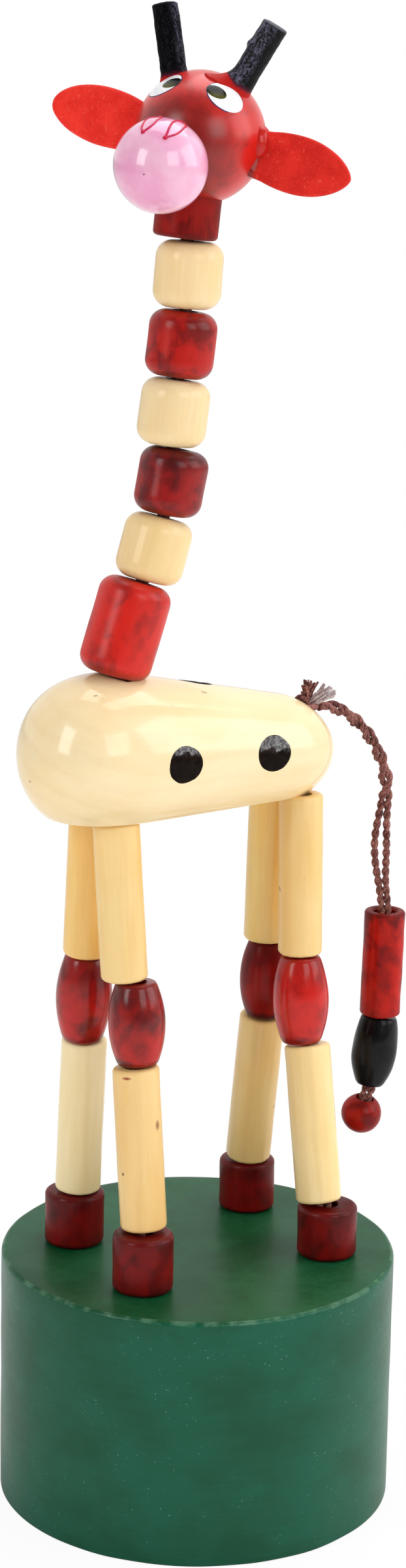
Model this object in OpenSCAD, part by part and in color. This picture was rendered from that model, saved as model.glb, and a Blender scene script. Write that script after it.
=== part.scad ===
// Giraffe push puppet: turned wooden beads strung on cords over a drum with a sprung push plate.
// The animal faces -X and its left side is at -Y. The drum stands on Z = 0, centred on the Z axis.

/* [Base drum] */
// Outer diameter of the drum
base_d = 55; // [52:0.5:60]
// Height of the drum
base_h = 35.6; // [32:0.2:42]
// Side wall of the drum
base_wall = 4.5; // [3:0.5:5]
// Thickness of the drum's top
base_top = 7; // [5:0.5:9]
// Chamfer along the drum's rims
base_chamfer = 0.5; // [0.2:0.1:1]

/* [Push plate and spring] */
// Thickness of the push plate
plate_t = 5; // [4:0.5:6]
// How far the plate's underside sits up inside the drum
plate_recess = 2; // [1:0.5:4]
// Radial clearance of the plate in the drum
plate_clearance = 0.6; // [0.3:0.1:1]
// Diameter of the knots under the plate
knot_d = 2.6; // [2:0.1:3]
// Wire of the return spring
spring_wire = 1.1; // [0.8:0.1:1.4]
// Diameter of the return spring at the middle of its wire
spring_d = 15; // [12:0.5:18]
// Number of coils in the return spring
spring_turns = 6; // [4:1:8]

/* [Legs] */
// Diameter of the leg dowels
leg_d = 6.4; // [5.6:0.1:7]
// Length of each leg dowel
leg_len = 22; // [18:0.5:26]
// Rounding of the dowels' ends
leg_edge = 0.6; // [0.3:0.1:0.9]
// Diameter of a knee bead at its middle
knee_d = 7.7; // [6.8:0.1:8.4]
// Diameter of a knee bead's flat ends
knee_end_d = 5.4; // [5.2:0.1:6]
// Length of a knee bead
knee_len = 11.8; // [9:0.2:14]
// Diameter of a hoof
hoof_d = 8.3; // [7.4:0.1:9]
// Height of a hoof
hoof_h = 7.5; // [6:0.1:10]
// Rounding of a hoof's edges
hoof_edge = 1.3; // [0.6:0.1:1.6]
// Cord hole through the legs
leg_bore = 2.8; // [2.6:0.1:3]

/* [Torso] */
// Length of the torso
torso_len = 46.7; // [44:0.1:52]
// Diameter of the torso's taper at the end of the chest
chest_d = 21.2; // [20:0.2:23]
// Diameter of the torso's taper at the start of the rump
rump_d = 15.4; // [14.6:0.2:18]
// Length of the rounded chest
chest_len = 16; // [13:0.5:18]
// Length of the rounded rump
rump_len = 8.5; // [7:0.5:12]
// Slope of the torso's axis down to the rear, in degrees
torso_tilt = 4.8; // [3:0.2:6]
// Height of the torso's nose above the planed belly
torso_rise = 9; // [8:0.1:9.6]

/* [Neck] */
// Diameter of the neck beads
bead_d = 8.9; // [8:0.1:9.6]
// Length of the neck beads
bead_len = 8.7; // [7.5:0.1:10]
// Rounding of the neck beads
bead_edge = 2.1; // [1:0.1:2.2]
// Diameter of the bottom neck bead
root_bead_d = 9.4; // [8.6:0.1:10]
// Length of the bottom neck bead
root_bead_len = 12.3; // [10:0.1:14]
// Cord hole through the neck
neck_bore = 3.2; // [3:0.1:3.6]
// Diameter of the collar under the head
collar_d = 8.5; // [7.6:0.1:9]
// Length of the collar
collar_len = 6.2; // [5.4:0.1:7]

/* [Head] */
// Diameter of the head ball
head_d = 17.1; // [16:0.1:18]
// Height of the head's middle above the collar's lower end
head_rise = 13; // [12.4:0.1:13.6]
// Diameter of the muzzle ball
muzzle_d = 12.1; // [11:0.1:13]
// Distance from the head's middle to the muzzle's middle
muzzle_out = 12; // [11.4:0.1:12.6]
// Angle of the muzzle below the head's forward direction
muzzle_dip = 23; // [15:1:30]
// Diameter of the horns
horn_d = 3.1; // [2.6:0.1:3.4]
// Length of the horns that shows
horn_len = 9.2; // [7:0.2:11]
// Outward lean of the horns
horn_splay = 21; // [14:1:24]
// Length of the ears that shows
ear_len = 13.2; // [11:0.2:15]
// Width of the ears
ear_w = 7.8; // [6.4:0.2:8.4]
// Thickness of the ears
ear_t = 1.2; // [0.8:0.1:1.6]

/* [Tail] */
// Diameter of the tail's tube bead
tube_bead_d = 5.7; // [5:0.1:6.4]
// Diameter of the tail's barrel bead at its middle
barrel_bead_d = 5.9; // [5:0.1:6.6]
// Diameter of the barrel bead's flat ends
barrel_end_d = 4; // [3.6:0.1:4.6]
// Diameter of the tail's ball bead
ball_bead_d = 5.5; // [5:0.1:6]
// Cord hole through the tail's beads
tail_bore = 2.4; // [2.1:0.1:2.6]
// Diameter of the tail's doubled cord
tail_cord_d = 1.5; // [1.2:0.1:1.7]

/* [Fits] */
// Diameter of the leg and neck cords
cord_d = 1.1; // [0.8:0.1:1.2]
// Gap between strung pieces at the nearest point
joint_gap = 0.25; // [0.2:0.05:0.4]
// Clearance around glued pegs
glue_gap = 0.05; // [0.02:0.01:0.1]

/* [Hidden] */
$fn = 48;
front_left = 0;
front_right = 1;
rear_left = 2;
rear_right = 3;
legs = [front_left, front_right, rear_left, rear_right];
left = -1;
right = 1;
wood = [0.93, 0.78, 0.55];
red = [0.72, 0.07, 0.06];
green = [0.1, 0.28, 0.14];
black = [0.07, 0.06, 0.06];
brown = [0.3, 0.13, 0.1];

// Places of the leg pieces' middles, one [x, y] for each leg, and their inward lean
hoof_at = [[-14.2, -9.8], [-14.4, 9.8], [14.8, -10.4], [14, 10.4]];
shin_at = [[-14.5, -8.4], [-14.3, 8.4], [13.5, -8], [13.6, 8]];
knee_at = [[-14.5, -6.8], [-14.9, 6.8], [12.7, -5.2], [13.5, 5.2]];
thigh_at = [[-15.6, -4.6], [-15.4, 4.6], [12.9, -4], [12.7, 4]];
shin_lean = [4, 4, 11, 8];
knee_lean = [4, 4, 4, 4];
thigh_lean = [4, 4, 2, 2];

// Radius of the flat ends that leg pieces rock on
leg_flat = leg_d / 2 - leg_edge;

// Space between two end faces, so that their rims stay a joint gap apart
function seat_gap(lean_a, lean_b, flat) = joint_gap + flat * sin(abs(lean_a - lean_b));

// The tallest leg carries the belly, and the others share out their spare height over their gaps
hoof_top = base_h + hoof_h;
function leg_gap(lean_a, lean_b) = seat_gap(lean_a, lean_b, leg_flat);
function leg_stack(i) = leg_len * (cos(shin_lean[i]) + cos(thigh_lean[i])) + knee_len * cos(knee_lean[i])
    + leg_gap(0, shin_lean[i]) + leg_gap(shin_lean[i], knee_lean[i])
    + leg_gap(knee_lean[i], thigh_lean[i]) + leg_gap(thigh_lean[i], 0);
tallest = max([for (i = legs) leg_stack(i)]);
belly_z = hoof_top + tallest;
spare = [for (i = legs) (tallest - leg_stack(i)) / 4];
shin_z = [for (i = legs)
    hoof_top + spare[i] + leg_gap(0, shin_lean[i]) + leg_len / 2 * cos(shin_lean[i])];
knee_z = [for (i = legs)
    shin_z[i] + leg_len / 2 * cos(shin_lean[i]) + spare[i] + leg_gap(shin_lean[i], knee_lean[i])
        + knee_len / 2 * cos(knee_lean[i])];
thigh_z = [for (i = legs)
    knee_z[i] + knee_len / 2 * cos(knee_lean[i]) + spare[i] + leg_gap(knee_lean[i], thigh_lean[i])
        + leg_len / 2 * cos(thigh_lean[i])];

// Middle of a leg piece's end face: end is -1 for the lower and 1 for the upper
function leg_end(at, z, len, lean, end) =
    [at[0], at[1], z] + end * len / 2 * [0, -sign(at[1]) * sin(lean), cos(lean)];
function shin_end(i, end) = leg_end(shin_at[i], shin_z[i], leg_len, shin_lean[i], end);
function knee_end(i, end) = leg_end(knee_at[i], knee_z[i], knee_len, knee_lean[i], end);
function thigh_end(i, end) = leg_end(thigh_at[i], thigh_z[i], leg_len, thigh_lean[i], end);
function hoof_mouth(i) = [hoof_at[i][0], hoof_at[i][1], hoof_top];

// Cords enter the belly a little inward of the bores below
hip_in = 0.7;
function hip(i) = let (p = thigh_end(i, 1)) [p[0], p[1] - sign(p[1]) * hip_in, belly_z];

// Torso: a straight taper that is rounded off at the chest and at the rump
nose = [-27.4, 0, belly_z + torso_rise];
rump_at = torso_len - rump_len;
arc_steps = 12;
function taper_r(s) = (chest_d + (rump_d - chest_d) * (s - chest_len) / (rump_at - chest_len)) / 2;
function chest_r(s) = taper_r(s) * sqrt(1 - pow(1 - s / chest_len, 2));
chest_profile = [for (i = [0 : arc_steps])
    let (s = chest_len * (1 - cos(90 * i / arc_steps))) [chest_r(s), s]];
function rump_r(s) = taper_r(s) * sqrt(1 - pow((s - rump_at) / rump_len, 2));
rump_profile = [for (i = [0 : arc_steps])
    let (t = 90 * i / arc_steps, s = rump_at + rump_len * sin(t)) [taper_r(s) * cos(t), s]];
function on_torso(s, r) = nose + [s * cos(torso_tilt) + r * sin(torso_tilt), 0,
    r * cos(torso_tilt) - s * sin(torso_tilt)];

// Neck: backward lean of the beads and the collar from the bottom up, and each one's slip to the rear
neck_lean = [18, 16, 11, 8, 7, 4.5, 6.5];
neck_slip = [0.9, 0.3, -1.3, -0.2, 0, -1];
neck_lift = 0.5;
neck_seat_at = 11.8;
bead_flat = bead_d / 2 - bead_edge;
neck_len = [for (i = [0 : 5]) i == 0 ? root_bead_len : bead_len];
function up_neck(lean) = [sin(lean), 0, cos(lean)];
function across_neck(lean) = [cos(lean), 0, -sin(lean)];
function bead_top(i) = bead_bottom(i) + neck_len[i] * up_neck(neck_lean[i]);
function bead_bottom(i) = i == 0 ? on_torso(neck_seat_at, chest_r(neck_seat_at) + neck_lift)
    : let (lean = (neck_lean[i - 1] + neck_lean[i]) / 2)
      bead_top(i - 1) + seat_gap(neck_lean[i - 1], neck_lean[i], bead_flat) * up_neck(lean)
          + neck_slip[i - 1] * across_neck(lean);
collar = 6;
head_back = 0.5;
head_at = bead_bottom(collar) + head_rise * up_neck(neck_lean[collar])
    + head_back * across_neck(neck_lean[collar]);

// Head: turned towards the animal's left, nodding up and tipped to one side
head_turn = [8, 9, 38.6];
muzzle_seat = (pow(muzzle_out, 2) + pow(head_d / 2, 2) - pow(muzzle_d / 2, 2)) / (2 * muzzle_out);
horn_foot = [-1.3, 4.5, 7.1];
horn_peg = 3;
ear_foot = [0.5, 8, -0.4];
left_ear_droop = 1;
right_ear_droop = 8;
ear_tab = 2.4;
ear_tab_w = 3.4;
ear_tip_d = 4.2;
ear_widest = 0.46;

// Tail: its hole on the rump's back, and from there the doubled cord's route to the ball bead
tail_from_end = 4.230172561;
tail_sink = 0.449931986;
tail_hole_at = on_torso(torso_len - tail_from_end, rump_r(torso_len - tail_from_end) - tail_sink);
tail_hole_lean = 36;
tail_hole_deep = 5;
tail_route = [for (p = [[2.2, 0, -0.1], [3.3, 0, -0.1], [4.5, 0, -0.4], [5.8, 0, -1], [7.2, 0, -1.9],
    [8.8, 0, -3.2], [10.3, 0, -4.8], [11.5, 0, -6.6], [12.6, 0, -8.6], [13.3, 0, -10.6], [13.6, 0, -12.6],
    [13.5, 0, -14.6], [13.2, 0, -17.1], [13, 0, -19.6], [13, 0, -21.6], [13.1, 0, -23.6], [13.3, 0, -25.6],
    [13.6, 0, -27.6], [13.9, 0, -29.6], [14.1, 0, -31.6], [14, 0, -38.6], [13.8, 0, -46.6],
    [13.1, 0, -51.6], [12.4, 0, -56.6], [11.8, -0.3, -57.7], [11.4, -0.4, -58.6], [11.3, -0.2, -59.6],
    [11.2, 0, -60.6]]) tail_hole_at + p];
tube_bead_ends = [tail_hole_at + [14.1, 0, -30.8], tail_hole_at + [13.8, 0, -46.1]];
barrel_bead_ends = [tail_hole_at + [13.75, 0, -46.4], tail_hole_at + [12.4, 0, -56.4]];
ball_bead_at = tail_hole_at + [11.2, 0, -60.6];
ball_bore_to = tail_hole_at + [11.5, -0.6, -57.6];

// Drum, plate and spring levels
cavity_d = base_d - 2 * base_wall;
cavity_top = base_h - base_top;
plate_top = plate_recess + plate_t;
knot_z = plate_recess + knot_d / 2;
cord_hole = leg_bore - 0.2;
plate_hole = cord_d + 0.9;

// A leg's cord runs from its knot under the plate up through the drum, the hoof and the leg
function leg_route(i) = [
    [hoof_at[i][0], hoof_at[i][1], knot_z + knot_d / 2],
    [hoof_at[i][0], hoof_at[i][1], base_h],
    (hoof_mouth(i) + shin_end(i, -1)) / 2,
    (shin_end(i, 1) + knee_end(i, -1)) / 2,
    (knee_end(i, 1) + thigh_end(i, -1)) / 2,
    hip(i)];

// The two cords of a pair lie this far from the middle of the neck and of the tail hole
cord_apart = 0.62;
neck_route = [for (i = [1 : collar]) (bead_top(i - 1) + bead_bottom(i)) / 2];
cord_short = 1;
head_end = bead_bottom(collar) + (head_rise - cord_short) * up_neck(neck_lean[collar]);

// Tail tuft: depth of its knot in the tail hole, and its cut ends
tuft_deep = 1.5;
knot_show = 0.9;
cut_end = 2.8;
cut_end_d = 1.5;
cut_splay = 24;
tail_end = tail_hole_at - 2 * tuft_deep * up_neck(tail_hole_lean);
function beside(i) = [0, sign(hoof_at[i][1]) * cord_apart, 0];
function torso_end(i) = beside(i) + (i < rear_left ? bead_bottom(0) : tail_end);

// A swept tube needs points along its route, a reference direction and the number of sides
function unit(v) = v / norm(v);
function way(p, i) = unit(p[min(i + 1, len(p) - 1)] - p[max(i - 1, 0)]);
function ring(p, i, r, ref, sides) =
    let (t = way(p, i), n = unit(ref - (ref * t) * t), b = cross(t, n))
    [for (k = [0 : sides - 1]) p[i] + r * (cos(360 * k / sides) * n + sin(360 * k / sides) * b)];

module tube(p, d, ref, sides) {
    points = [for (i = [0 : len(p) - 1]) each ring(p, i, d / 2, ref, sides)];
    last = (len(p) - 1) * sides;
    walls = [for (i = [0 : len(p) - 2], k = [0 : sides - 1])
        let (m = (k + 1) % sides)
        each [[i * sides + k, (i + 1) * sides + m, i * sides + m],
              [i * sides + k, (i + 1) * sides + k, (i + 1) * sides + m]]];
    caps = [for (k = [1 : sides - 2])
        each [[0, k, k + 1], [last, last + k + 1, last + k]]];
    polyhedron(points, concat(walls, caps));
}

// Round bar from one point to another
module bar(p, q, d) {
    v = q - p;
    translate(p)
        rotate([0, acos(v[2] / norm(v)), atan2(v[1], v[0])])
            cylinder(d = d, h = norm(v));
}

// Turned bead with rounded edges and a hole, standing on its lower end
module turned(d, h, edge, bore) {
    rotate_extrude()
        difference() {
            union() {
                square([d / 2 - edge, h]);
                translate([0, edge]) square([d / 2, h - 2 * edge]);
                for (y = [edge, h - edge]) translate([d / 2 - edge, y]) circle(r = edge);
            }
            translate([-d, -h]) square([d + bore / 2, 3 * h]);
        }
}

// Turned bead that swells to its middle, standing on its lower end
module barrel(d, end_d, h, bore) {
    steps = 12;
    swell = [for (i = [0 : steps])
        let (u = 2 * i / steps - 1) [d / 2 - (d - end_d) / 2 * u * u, h * i / steps]];
    rotate_extrude()
        polygon(concat([[bore / 2, 0]], swell, [[bore / 2, h]]));
}

// Stands a leg piece on its lower end with its inward lean
module leg_place(foot, at, lean) {
    translate(foot) rotate([sign(at[1]) * lean, 0, 0]) children();
}

module neck_place(i) {
    translate(bead_bottom(i)) rotate([0, neck_lean[i], 0]) children();
}

module in_head() {
    translate(head_at) rotate(head_turn) children();
}

// Z runs from the head's middle through the muzzle's middle
module muzzle_axis() {
    in_head() rotate([0, -90 - muzzle_dip, 0]) children();
}

// Z runs along a horn, from its foot on the head
module horn_place(side) {
    in_head()
        translate([horn_foot[0], side * horn_foot[1], horn_foot[2]])
            rotate([-side * horn_splay, 0, 0]) children();
}

// X runs outward along an ear, from its foot on the head
module ear_place(side) {
    in_head()
        translate([ear_foot[0], side * ear_foot[1], ear_foot[2]])
            rotate([side == left ? left_ear_droop : -right_ear_droop, 0, side * 90])
                rotate([90, 0, 0]) children();
}

module base_drum() {
    r = base_d / 2;
    color(green)
        difference() {
            rotate_extrude($fn = 96)
                polygon([[0, cavity_top], [cavity_d / 2, cavity_top], [cavity_d / 2, 0],
                    [r - base_chamfer, 0], [r, base_chamfer], [r, base_h - base_chamfer],
                    [r - base_chamfer, base_h], [0, base_h]]);
            for (p = hoof_at)
                translate([p[0], p[1], cavity_top - base_top]) cylinder(d = cord_hole, h = 3 * base_top);
        }
}

module push_plate() {
    color(wood)
        difference() {
            translate([0, 0, plate_recess])
                cylinder(d = cavity_d - 2 * plate_clearance, h = plate_t, $fn = 96);
            for (p = hoof_at)
                translate([p[0], p[1], 0]) {
                    cylinder(d = plate_hole, h = base_h);
                    cylinder(d = knot_d + 2 * joint_gap, h = plate_recess + knot_d + joint_gap);
                }
        }
}

module cord_knots() {
    color(brown)
        for (p = hoof_at)
            translate([p[0], p[1], knot_z]) sphere(d = knot_d);
}

module return_spring() {
    wire_sides = 6;
    rings = 8;
    low = plate_top + spring_wire / 2 + joint_gap / 2;
    high = cavity_top - spring_wire / 2 - joint_gap / 2;
    count = spring_turns * rings;
    coil = [for (i = [0 : count])
        [spring_d / 2 * cos(360 * i / rings), spring_d / 2 * sin(360 * i / rings),
            low + (high - low) * i / count]];
    least = min([for (i = [0 : count - rings / 2 - 1], j = [i + rings / 2 : count]) norm(coil[i] - coil[j])]);
    echo(least_gap_between_coils = least - spring_wire);
    color("silver") tube(coil, spring_wire, [0, 0, 1], wire_sides);
}

module hoof(i) {
    color(red)
        translate([hoof_at[i][0], hoof_at[i][1], base_h]) turned(hoof_d, hoof_h, hoof_edge, leg_bore);
}

module lower_leg(i) {
    color(wood)
        leg_place(shin_end(i, -1), shin_at[i], shin_lean[i]) turned(leg_d, leg_len, leg_edge, leg_bore);
}

module knee(i) {
    color(red)
        leg_place(knee_end(i, -1), knee_at[i], knee_lean[i]) barrel(knee_d, knee_end_d, knee_len, leg_bore);
}

module upper_leg(i) {
    color(wood)
        leg_place(thigh_end(i, -1), thigh_at[i], thigh_lean[i]) turned(leg_d, leg_len, leg_edge, leg_bore);
}

module torso() {
    color(wood)
        difference() {
            translate(nose) rotate([0, 90 + torso_tilt, 0])
                rotate_extrude($fn = 72) polygon(concat(chest_profile, rump_profile));
            translate([-torso_len, -chest_d, belly_z - chest_d])
                cube([2 * torso_len, 2 * chest_d, chest_d]);
            translate(-joint_gap * up_neck(neck_lean[0])) neck_place(0)
                cylinder(d = root_bead_d + 2 * joint_gap, h = chest_d);
            for (i = legs)
                cord_channel(hip(i), torso_end(i));
            translate(tail_hole_at) rotate([0, tail_hole_lean, 0])
                translate([0, 0, -tail_hole_deep]) cylinder(d = neck_bore, h = 2 * tail_hole_deep);
        }
}

// Straight drilling from below the first point to just past the second
module cord_channel(p, q) {
    along = unit(q - p);
    bar(p - leg_bore * along, q + cord_d / 2 * along, cord_hole);
}

module neck_bead(i) {
    color(i % 2 == 0 ? red : wood)
        neck_place(i) turned(i == 0 ? root_bead_d : bead_d, neck_len[i], bead_edge, neck_bore);
}

module neck_collar() {
    color(red)
        neck_place(collar) turned(collar_d, collar_len, leg_edge, neck_bore);
}

module head_ball() {
    color(red)
        difference() {
            translate(head_at) sphere(d = head_d, $fn = 72);
            muzzle_axis() translate([0, 0, muzzle_seat]) cylinder(d = 2 * head_d, h = head_d);
            neck_place(collar) cylinder(d = collar_d + 2 * glue_gap, h = collar_len);
            neck_place(collar) cylinder(d = neck_bore, h = head_rise);
            for (side = [left, right]) {
                horn_place(side)
                    translate([0, 0, -horn_peg]) cylinder(d = horn_d + 2 * glue_gap, h = 3 * horn_peg);
                ear_place(side)
                    linear_extrude(height = ear_t + 2 * glue_gap, center = true)
                        translate([-ear_tab, -ear_tab_w / 2 - glue_gap])
                            square([3 * ear_tab, ear_tab_w + 2 * glue_gap]);
            }
        }
}

module muzzle() {
    color("pink")
        difference() {
            muzzle_axis() translate([0, 0, muzzle_out]) sphere(d = muzzle_d, $fn = 72);
            muzzle_axis() translate([0, 0, muzzle_seat - head_d]) cylinder(d = 2 * head_d, h = head_d);
        }
}

module horn(side) {
    color(black)
        horn_place(side) translate([0, 0, -horn_peg]) cylinder(d = horn_d, h = horn_peg + horn_len);
}

module ear(side) {
    color(red)
        ear_place(side)
            linear_extrude(height = ear_t, center = true) {
                translate([-ear_tab, -ear_tab_w / 2]) square([2 * ear_tab, ear_tab_w]);
                hull() {
                    translate([ear_tab / 2, 0]) square([ear_t, ear_tab_w], center = true);
                    translate([ear_len * ear_widest, 0]) circle(d = ear_w);
                    translate([ear_len - ear_tip_d / 2, 0]) circle(d = ear_tip_d);
                }
            }
}

// Cord ends knotted in the tail hole, with three cut ends standing up
module tail_tuft() {
    color(brown)
        translate(tail_hole_at) rotate([0, tail_hole_lean, 0]) {
            translate([0, 0, -tuft_deep]) cylinder(d = neck_bore - 2 * glue_gap, h = tuft_deep + knot_show);
            for (turn = [-110, 0, 110])
                rotate([0, 0, turn + 180]) translate([0, 0, knot_show / 2])
                    rotate([0, cut_splay, 0]) cylinder(d = cut_end_d, h = cut_end);
        }
}

module tail_cord() {
    color(brown) tube(tail_route, tail_cord_d, [0, 1, 0], 8);
}

module tail_tube_bead() {
    color(red)
        difference() {
            bar(tube_bead_ends[1], tube_bead_ends[0], tube_bead_d);
            cord_bore(tube_bead_ends);
        }
}

module cord_bore(ends) {
    past = unit(ends[1] - ends[0]);
    bar(ends[0] - past, ends[1] + past, tail_bore);
}

module tail_barrel_bead() {
    v = barrel_bead_ends[0] - barrel_bead_ends[1];
    color(black)
        translate(barrel_bead_ends[1]) rotate([0, atan2(v[0], v[2]), 0])
            barrel(barrel_bead_d, barrel_end_d, norm(v), tail_bore);
}

module tail_ball_bead() {
    v = ball_bore_to - ball_bead_at;
    color(red)
        difference() {
            translate(ball_bead_at) sphere(d = ball_bead_d);
            bar(ball_bead_at - v, ball_bead_at + v, tail_bore);
        }
}

module leg_cord(i) {
    neck_stretch = i < rear_left ? [for (p = concat(neck_route, [head_end])) p + beside(i)] : [];
    color(brown)
        tube(concat(leg_route(i), [torso_end(i)], neck_stretch), cord_d, [1, 0, 0], 8);
}

base_drum();
push_plate();
cord_knots();
return_spring();
hoof(front_left);  // front_left_hoof
hoof(front_right);  // front_right_hoof
hoof(rear_left);  // rear_left_hoof
hoof(rear_right);  // rear_right_hoof
lower_leg(front_left);  // front_left_lower_leg
lower_leg(front_right);  // front_right_lower_leg
lower_leg(rear_left);  // rear_left_lower_leg
lower_leg(rear_right);  // rear_right_lower_leg
knee(front_left);  // front_left_knee
knee(front_right);  // front_right_knee
knee(rear_left);  // rear_left_knee
knee(rear_right);  // rear_right_knee
upper_leg(front_left);  // front_left_upper_leg
upper_leg(front_right);  // front_right_upper_leg
upper_leg(rear_left);  // rear_left_upper_leg
upper_leg(rear_right);  // rear_right_upper_leg
torso();
neck_bead(0);  // neck_bead_1
neck_bead(1);  // neck_bead_2
neck_bead(2);  // neck_bead_3
neck_bead(3);  // neck_bead_4
neck_bead(4);  // neck_bead_5
neck_bead(5);  // neck_bead_6
neck_collar();
head_ball();
muzzle();
horn(left);  // left_horn
horn(right);  // right_horn
ear(left);  // left_ear
ear(right);  // right_ear
tail_tuft();
tail_cord();
tail_tube_bead();
tail_barrel_bead();
tail_ball_bead();
leg_cord(front_left);  // front_left_cord
leg_cord(front_right);  // front_right_cord
leg_cord(rear_left);  // rear_left_cord
leg_cord(rear_right);  // rear_right_cord
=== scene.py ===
import math
import random

import bmesh
import bpy
from mathutils import Matrix, Vector, noise
from mathutils.bvhtree import BVHTree


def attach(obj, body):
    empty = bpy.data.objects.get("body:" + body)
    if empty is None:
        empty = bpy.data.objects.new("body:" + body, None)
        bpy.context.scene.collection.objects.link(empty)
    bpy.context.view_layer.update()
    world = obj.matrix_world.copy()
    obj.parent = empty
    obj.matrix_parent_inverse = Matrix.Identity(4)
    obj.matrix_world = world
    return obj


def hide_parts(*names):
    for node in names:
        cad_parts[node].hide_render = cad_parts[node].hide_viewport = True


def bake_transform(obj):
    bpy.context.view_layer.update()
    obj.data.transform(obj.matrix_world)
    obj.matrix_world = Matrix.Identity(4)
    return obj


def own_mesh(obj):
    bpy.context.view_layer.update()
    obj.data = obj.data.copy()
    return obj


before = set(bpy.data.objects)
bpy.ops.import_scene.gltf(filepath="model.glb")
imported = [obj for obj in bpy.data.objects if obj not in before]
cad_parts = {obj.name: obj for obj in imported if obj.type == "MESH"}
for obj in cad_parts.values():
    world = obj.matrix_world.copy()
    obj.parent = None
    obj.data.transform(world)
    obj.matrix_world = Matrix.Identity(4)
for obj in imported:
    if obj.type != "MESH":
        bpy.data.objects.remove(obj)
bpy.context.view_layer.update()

mm = 0.001
scene = bpy.context.scene


def spun(axis, degrees):
    return Matrix.Rotation(math.radians(degrees), 4, axis)


def moved(point):
    return Matrix.Translation(Vector(point) * mm)


def asMesh(bm, name):
    mesh = bpy.data.meshes.new(name)
    bm.to_mesh(mesh)
    bm.free()
    return mesh


def fromMesh(mesh):
    bm = bmesh.new()
    bm.from_mesh(mesh)
    bpy.data.meshes.remove(mesh)
    return bm


# Camera
cameraSpec = {"at": (-236.2, -408.14, 225.13), "heading": 60, "pitch": 14.577, "roll": 1.097, "lens": 82.5}


def cameraAxes(spec):
    h, p, r = (math.radians(spec[key]) for key in ("heading", "pitch", "roll"))
    ahead = Vector((math.cos(h) * math.cos(p), math.sin(h) * math.cos(p), -math.sin(p)))
    level = Vector((math.sin(h), -math.cos(h), 0))
    lift = level.cross(ahead)
    return level * math.cos(r) + lift * math.sin(r), lift * math.cos(r) - level * math.sin(r), ahead


camRight, camUp, camAhead = cameraAxes(cameraSpec)
camera = bpy.data.objects.new("camera", bpy.data.cameras.new("camera"))
scene.collection.objects.link(camera)
camera.matrix_world = moved(cameraSpec["at"]) @ Matrix((camRight, camUp, -camAhead)).transposed().to_4x4()
camera.data.lens = cameraSpec["lens"]
camera.data.sensor_width = 36
camera.data.clip_start = 0.01
camera.data.clip_end = 20
scene.camera = camera
print("camera set")


# Shader sockets with arithmetic
class Wire:
    def __init__(self, tree, socket=None):
        self.tree = tree
        self.socket = socket

    def node(self, kind, settings, plugs, out=0):
        made = self.tree.nodes.new("ShaderNode" + kind)
        for key, value in settings.items():
            setattr(made, key, value)
        for key, value in plugs.items():
            if isinstance(value, Wire):
                self.tree.links.new(value.socket, made.inputs[key])
            else:
                made.inputs[key].default_value = value
        return Wire(self.tree, made.outputs[out] if len(made.outputs) else None)

    def maths(self, act, first, second=0.0):
        return self.node("Math", {"operation": act}, {0: first, 1: second})

    def __add__(self, other):
        return self.maths("ADD", self, other)

    def __radd__(self, other):
        return self.maths("ADD", other, self)

    def __sub__(self, other):
        return self.maths("SUBTRACT", self, other)

    def __rsub__(self, other):
        return self.maths("SUBTRACT", other, self)

    def __mul__(self, other):
        return self.maths("MULTIPLY", self, other)

    def __rmul__(self, other):
        return self.maths("MULTIPLY", other, self)

    def __pow__(self, other):
        return self.maths("POWER", self, other)


def shade(red, green, blue):
    def linear(c):
        c /= 255
        return c / 12.92 if c <= 0.04045 else ((c + 0.055) / 1.055) ** 2.4
    return (linear(red), linear(green), linear(blue), 1.0)


def grainOf(w):
    return w.node("Attribute", {"attribute_name": "grain"}, {}, "Vector")


def plankOf(w):
    x, y, z = partsOf(w, w.node("TexCoord", {}, {}, "Object"))
    return w.node("CombineXYZ", {}, {"X": z * 1000.0, "Y": y * 1000.0, "Z": x * 1000.0})


def alongOf(w):
    return w.node("Attribute", {"attribute_name": "along"}, {}, "Fac")


def partsOf(w, spot):
    return [w.node("SeparateXYZ", {}, {0: spot}, axis) for axis in ("X", "Y", "Z")]


def clouds(w, spot, stretch, detail=3.0, twist=0.0):
    scaled = w.node("VectorMath", {"operation": "MULTIPLY"}, {0: spot, 1: stretch})
    return w.node("TexNoise", {}, {"Vector": scaled, "Scale": 1.0, "Detail": detail, "Roughness": 0.55,
                                   "Distortion": twist}, 0)


def rise(w, value, low, high):
    return w.node("MapRange", {"interpolation_type": "SMOOTHSTEP"},
                  {0: value, 1: low, 2: high, 3: 0.0, 4: 1.0})


def mixed(w, share, first, second):
    return w.node("Mix", {"data_type": "RGBA"}, {0: share, 6: first, 7: second}, 2)


def bumped(w, height, strength, deep):
    return w.node("Bump", {}, {"Strength": strength, "Distance": deep * mm, "Height": height})


def blank(name):
    made = bpy.data.materials.new(name)
    made.use_nodes = True
    made.node_tree.nodes.clear()
    return made, Wire(made.node_tree)


def coated(made, w, base, rough, bump, **fixed):
    plugs = {"Base Color": base, "Roughness": rough, "Normal": bump, "Specular IOR Level": 0.1}
    plugs.update({key.replace("_", " "): value for key, value in fixed.items()})
    w.node("OutputMaterial", {}, {"Surface": w.node("BsdfPrincipled", {}, plugs)})
    return made


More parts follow.
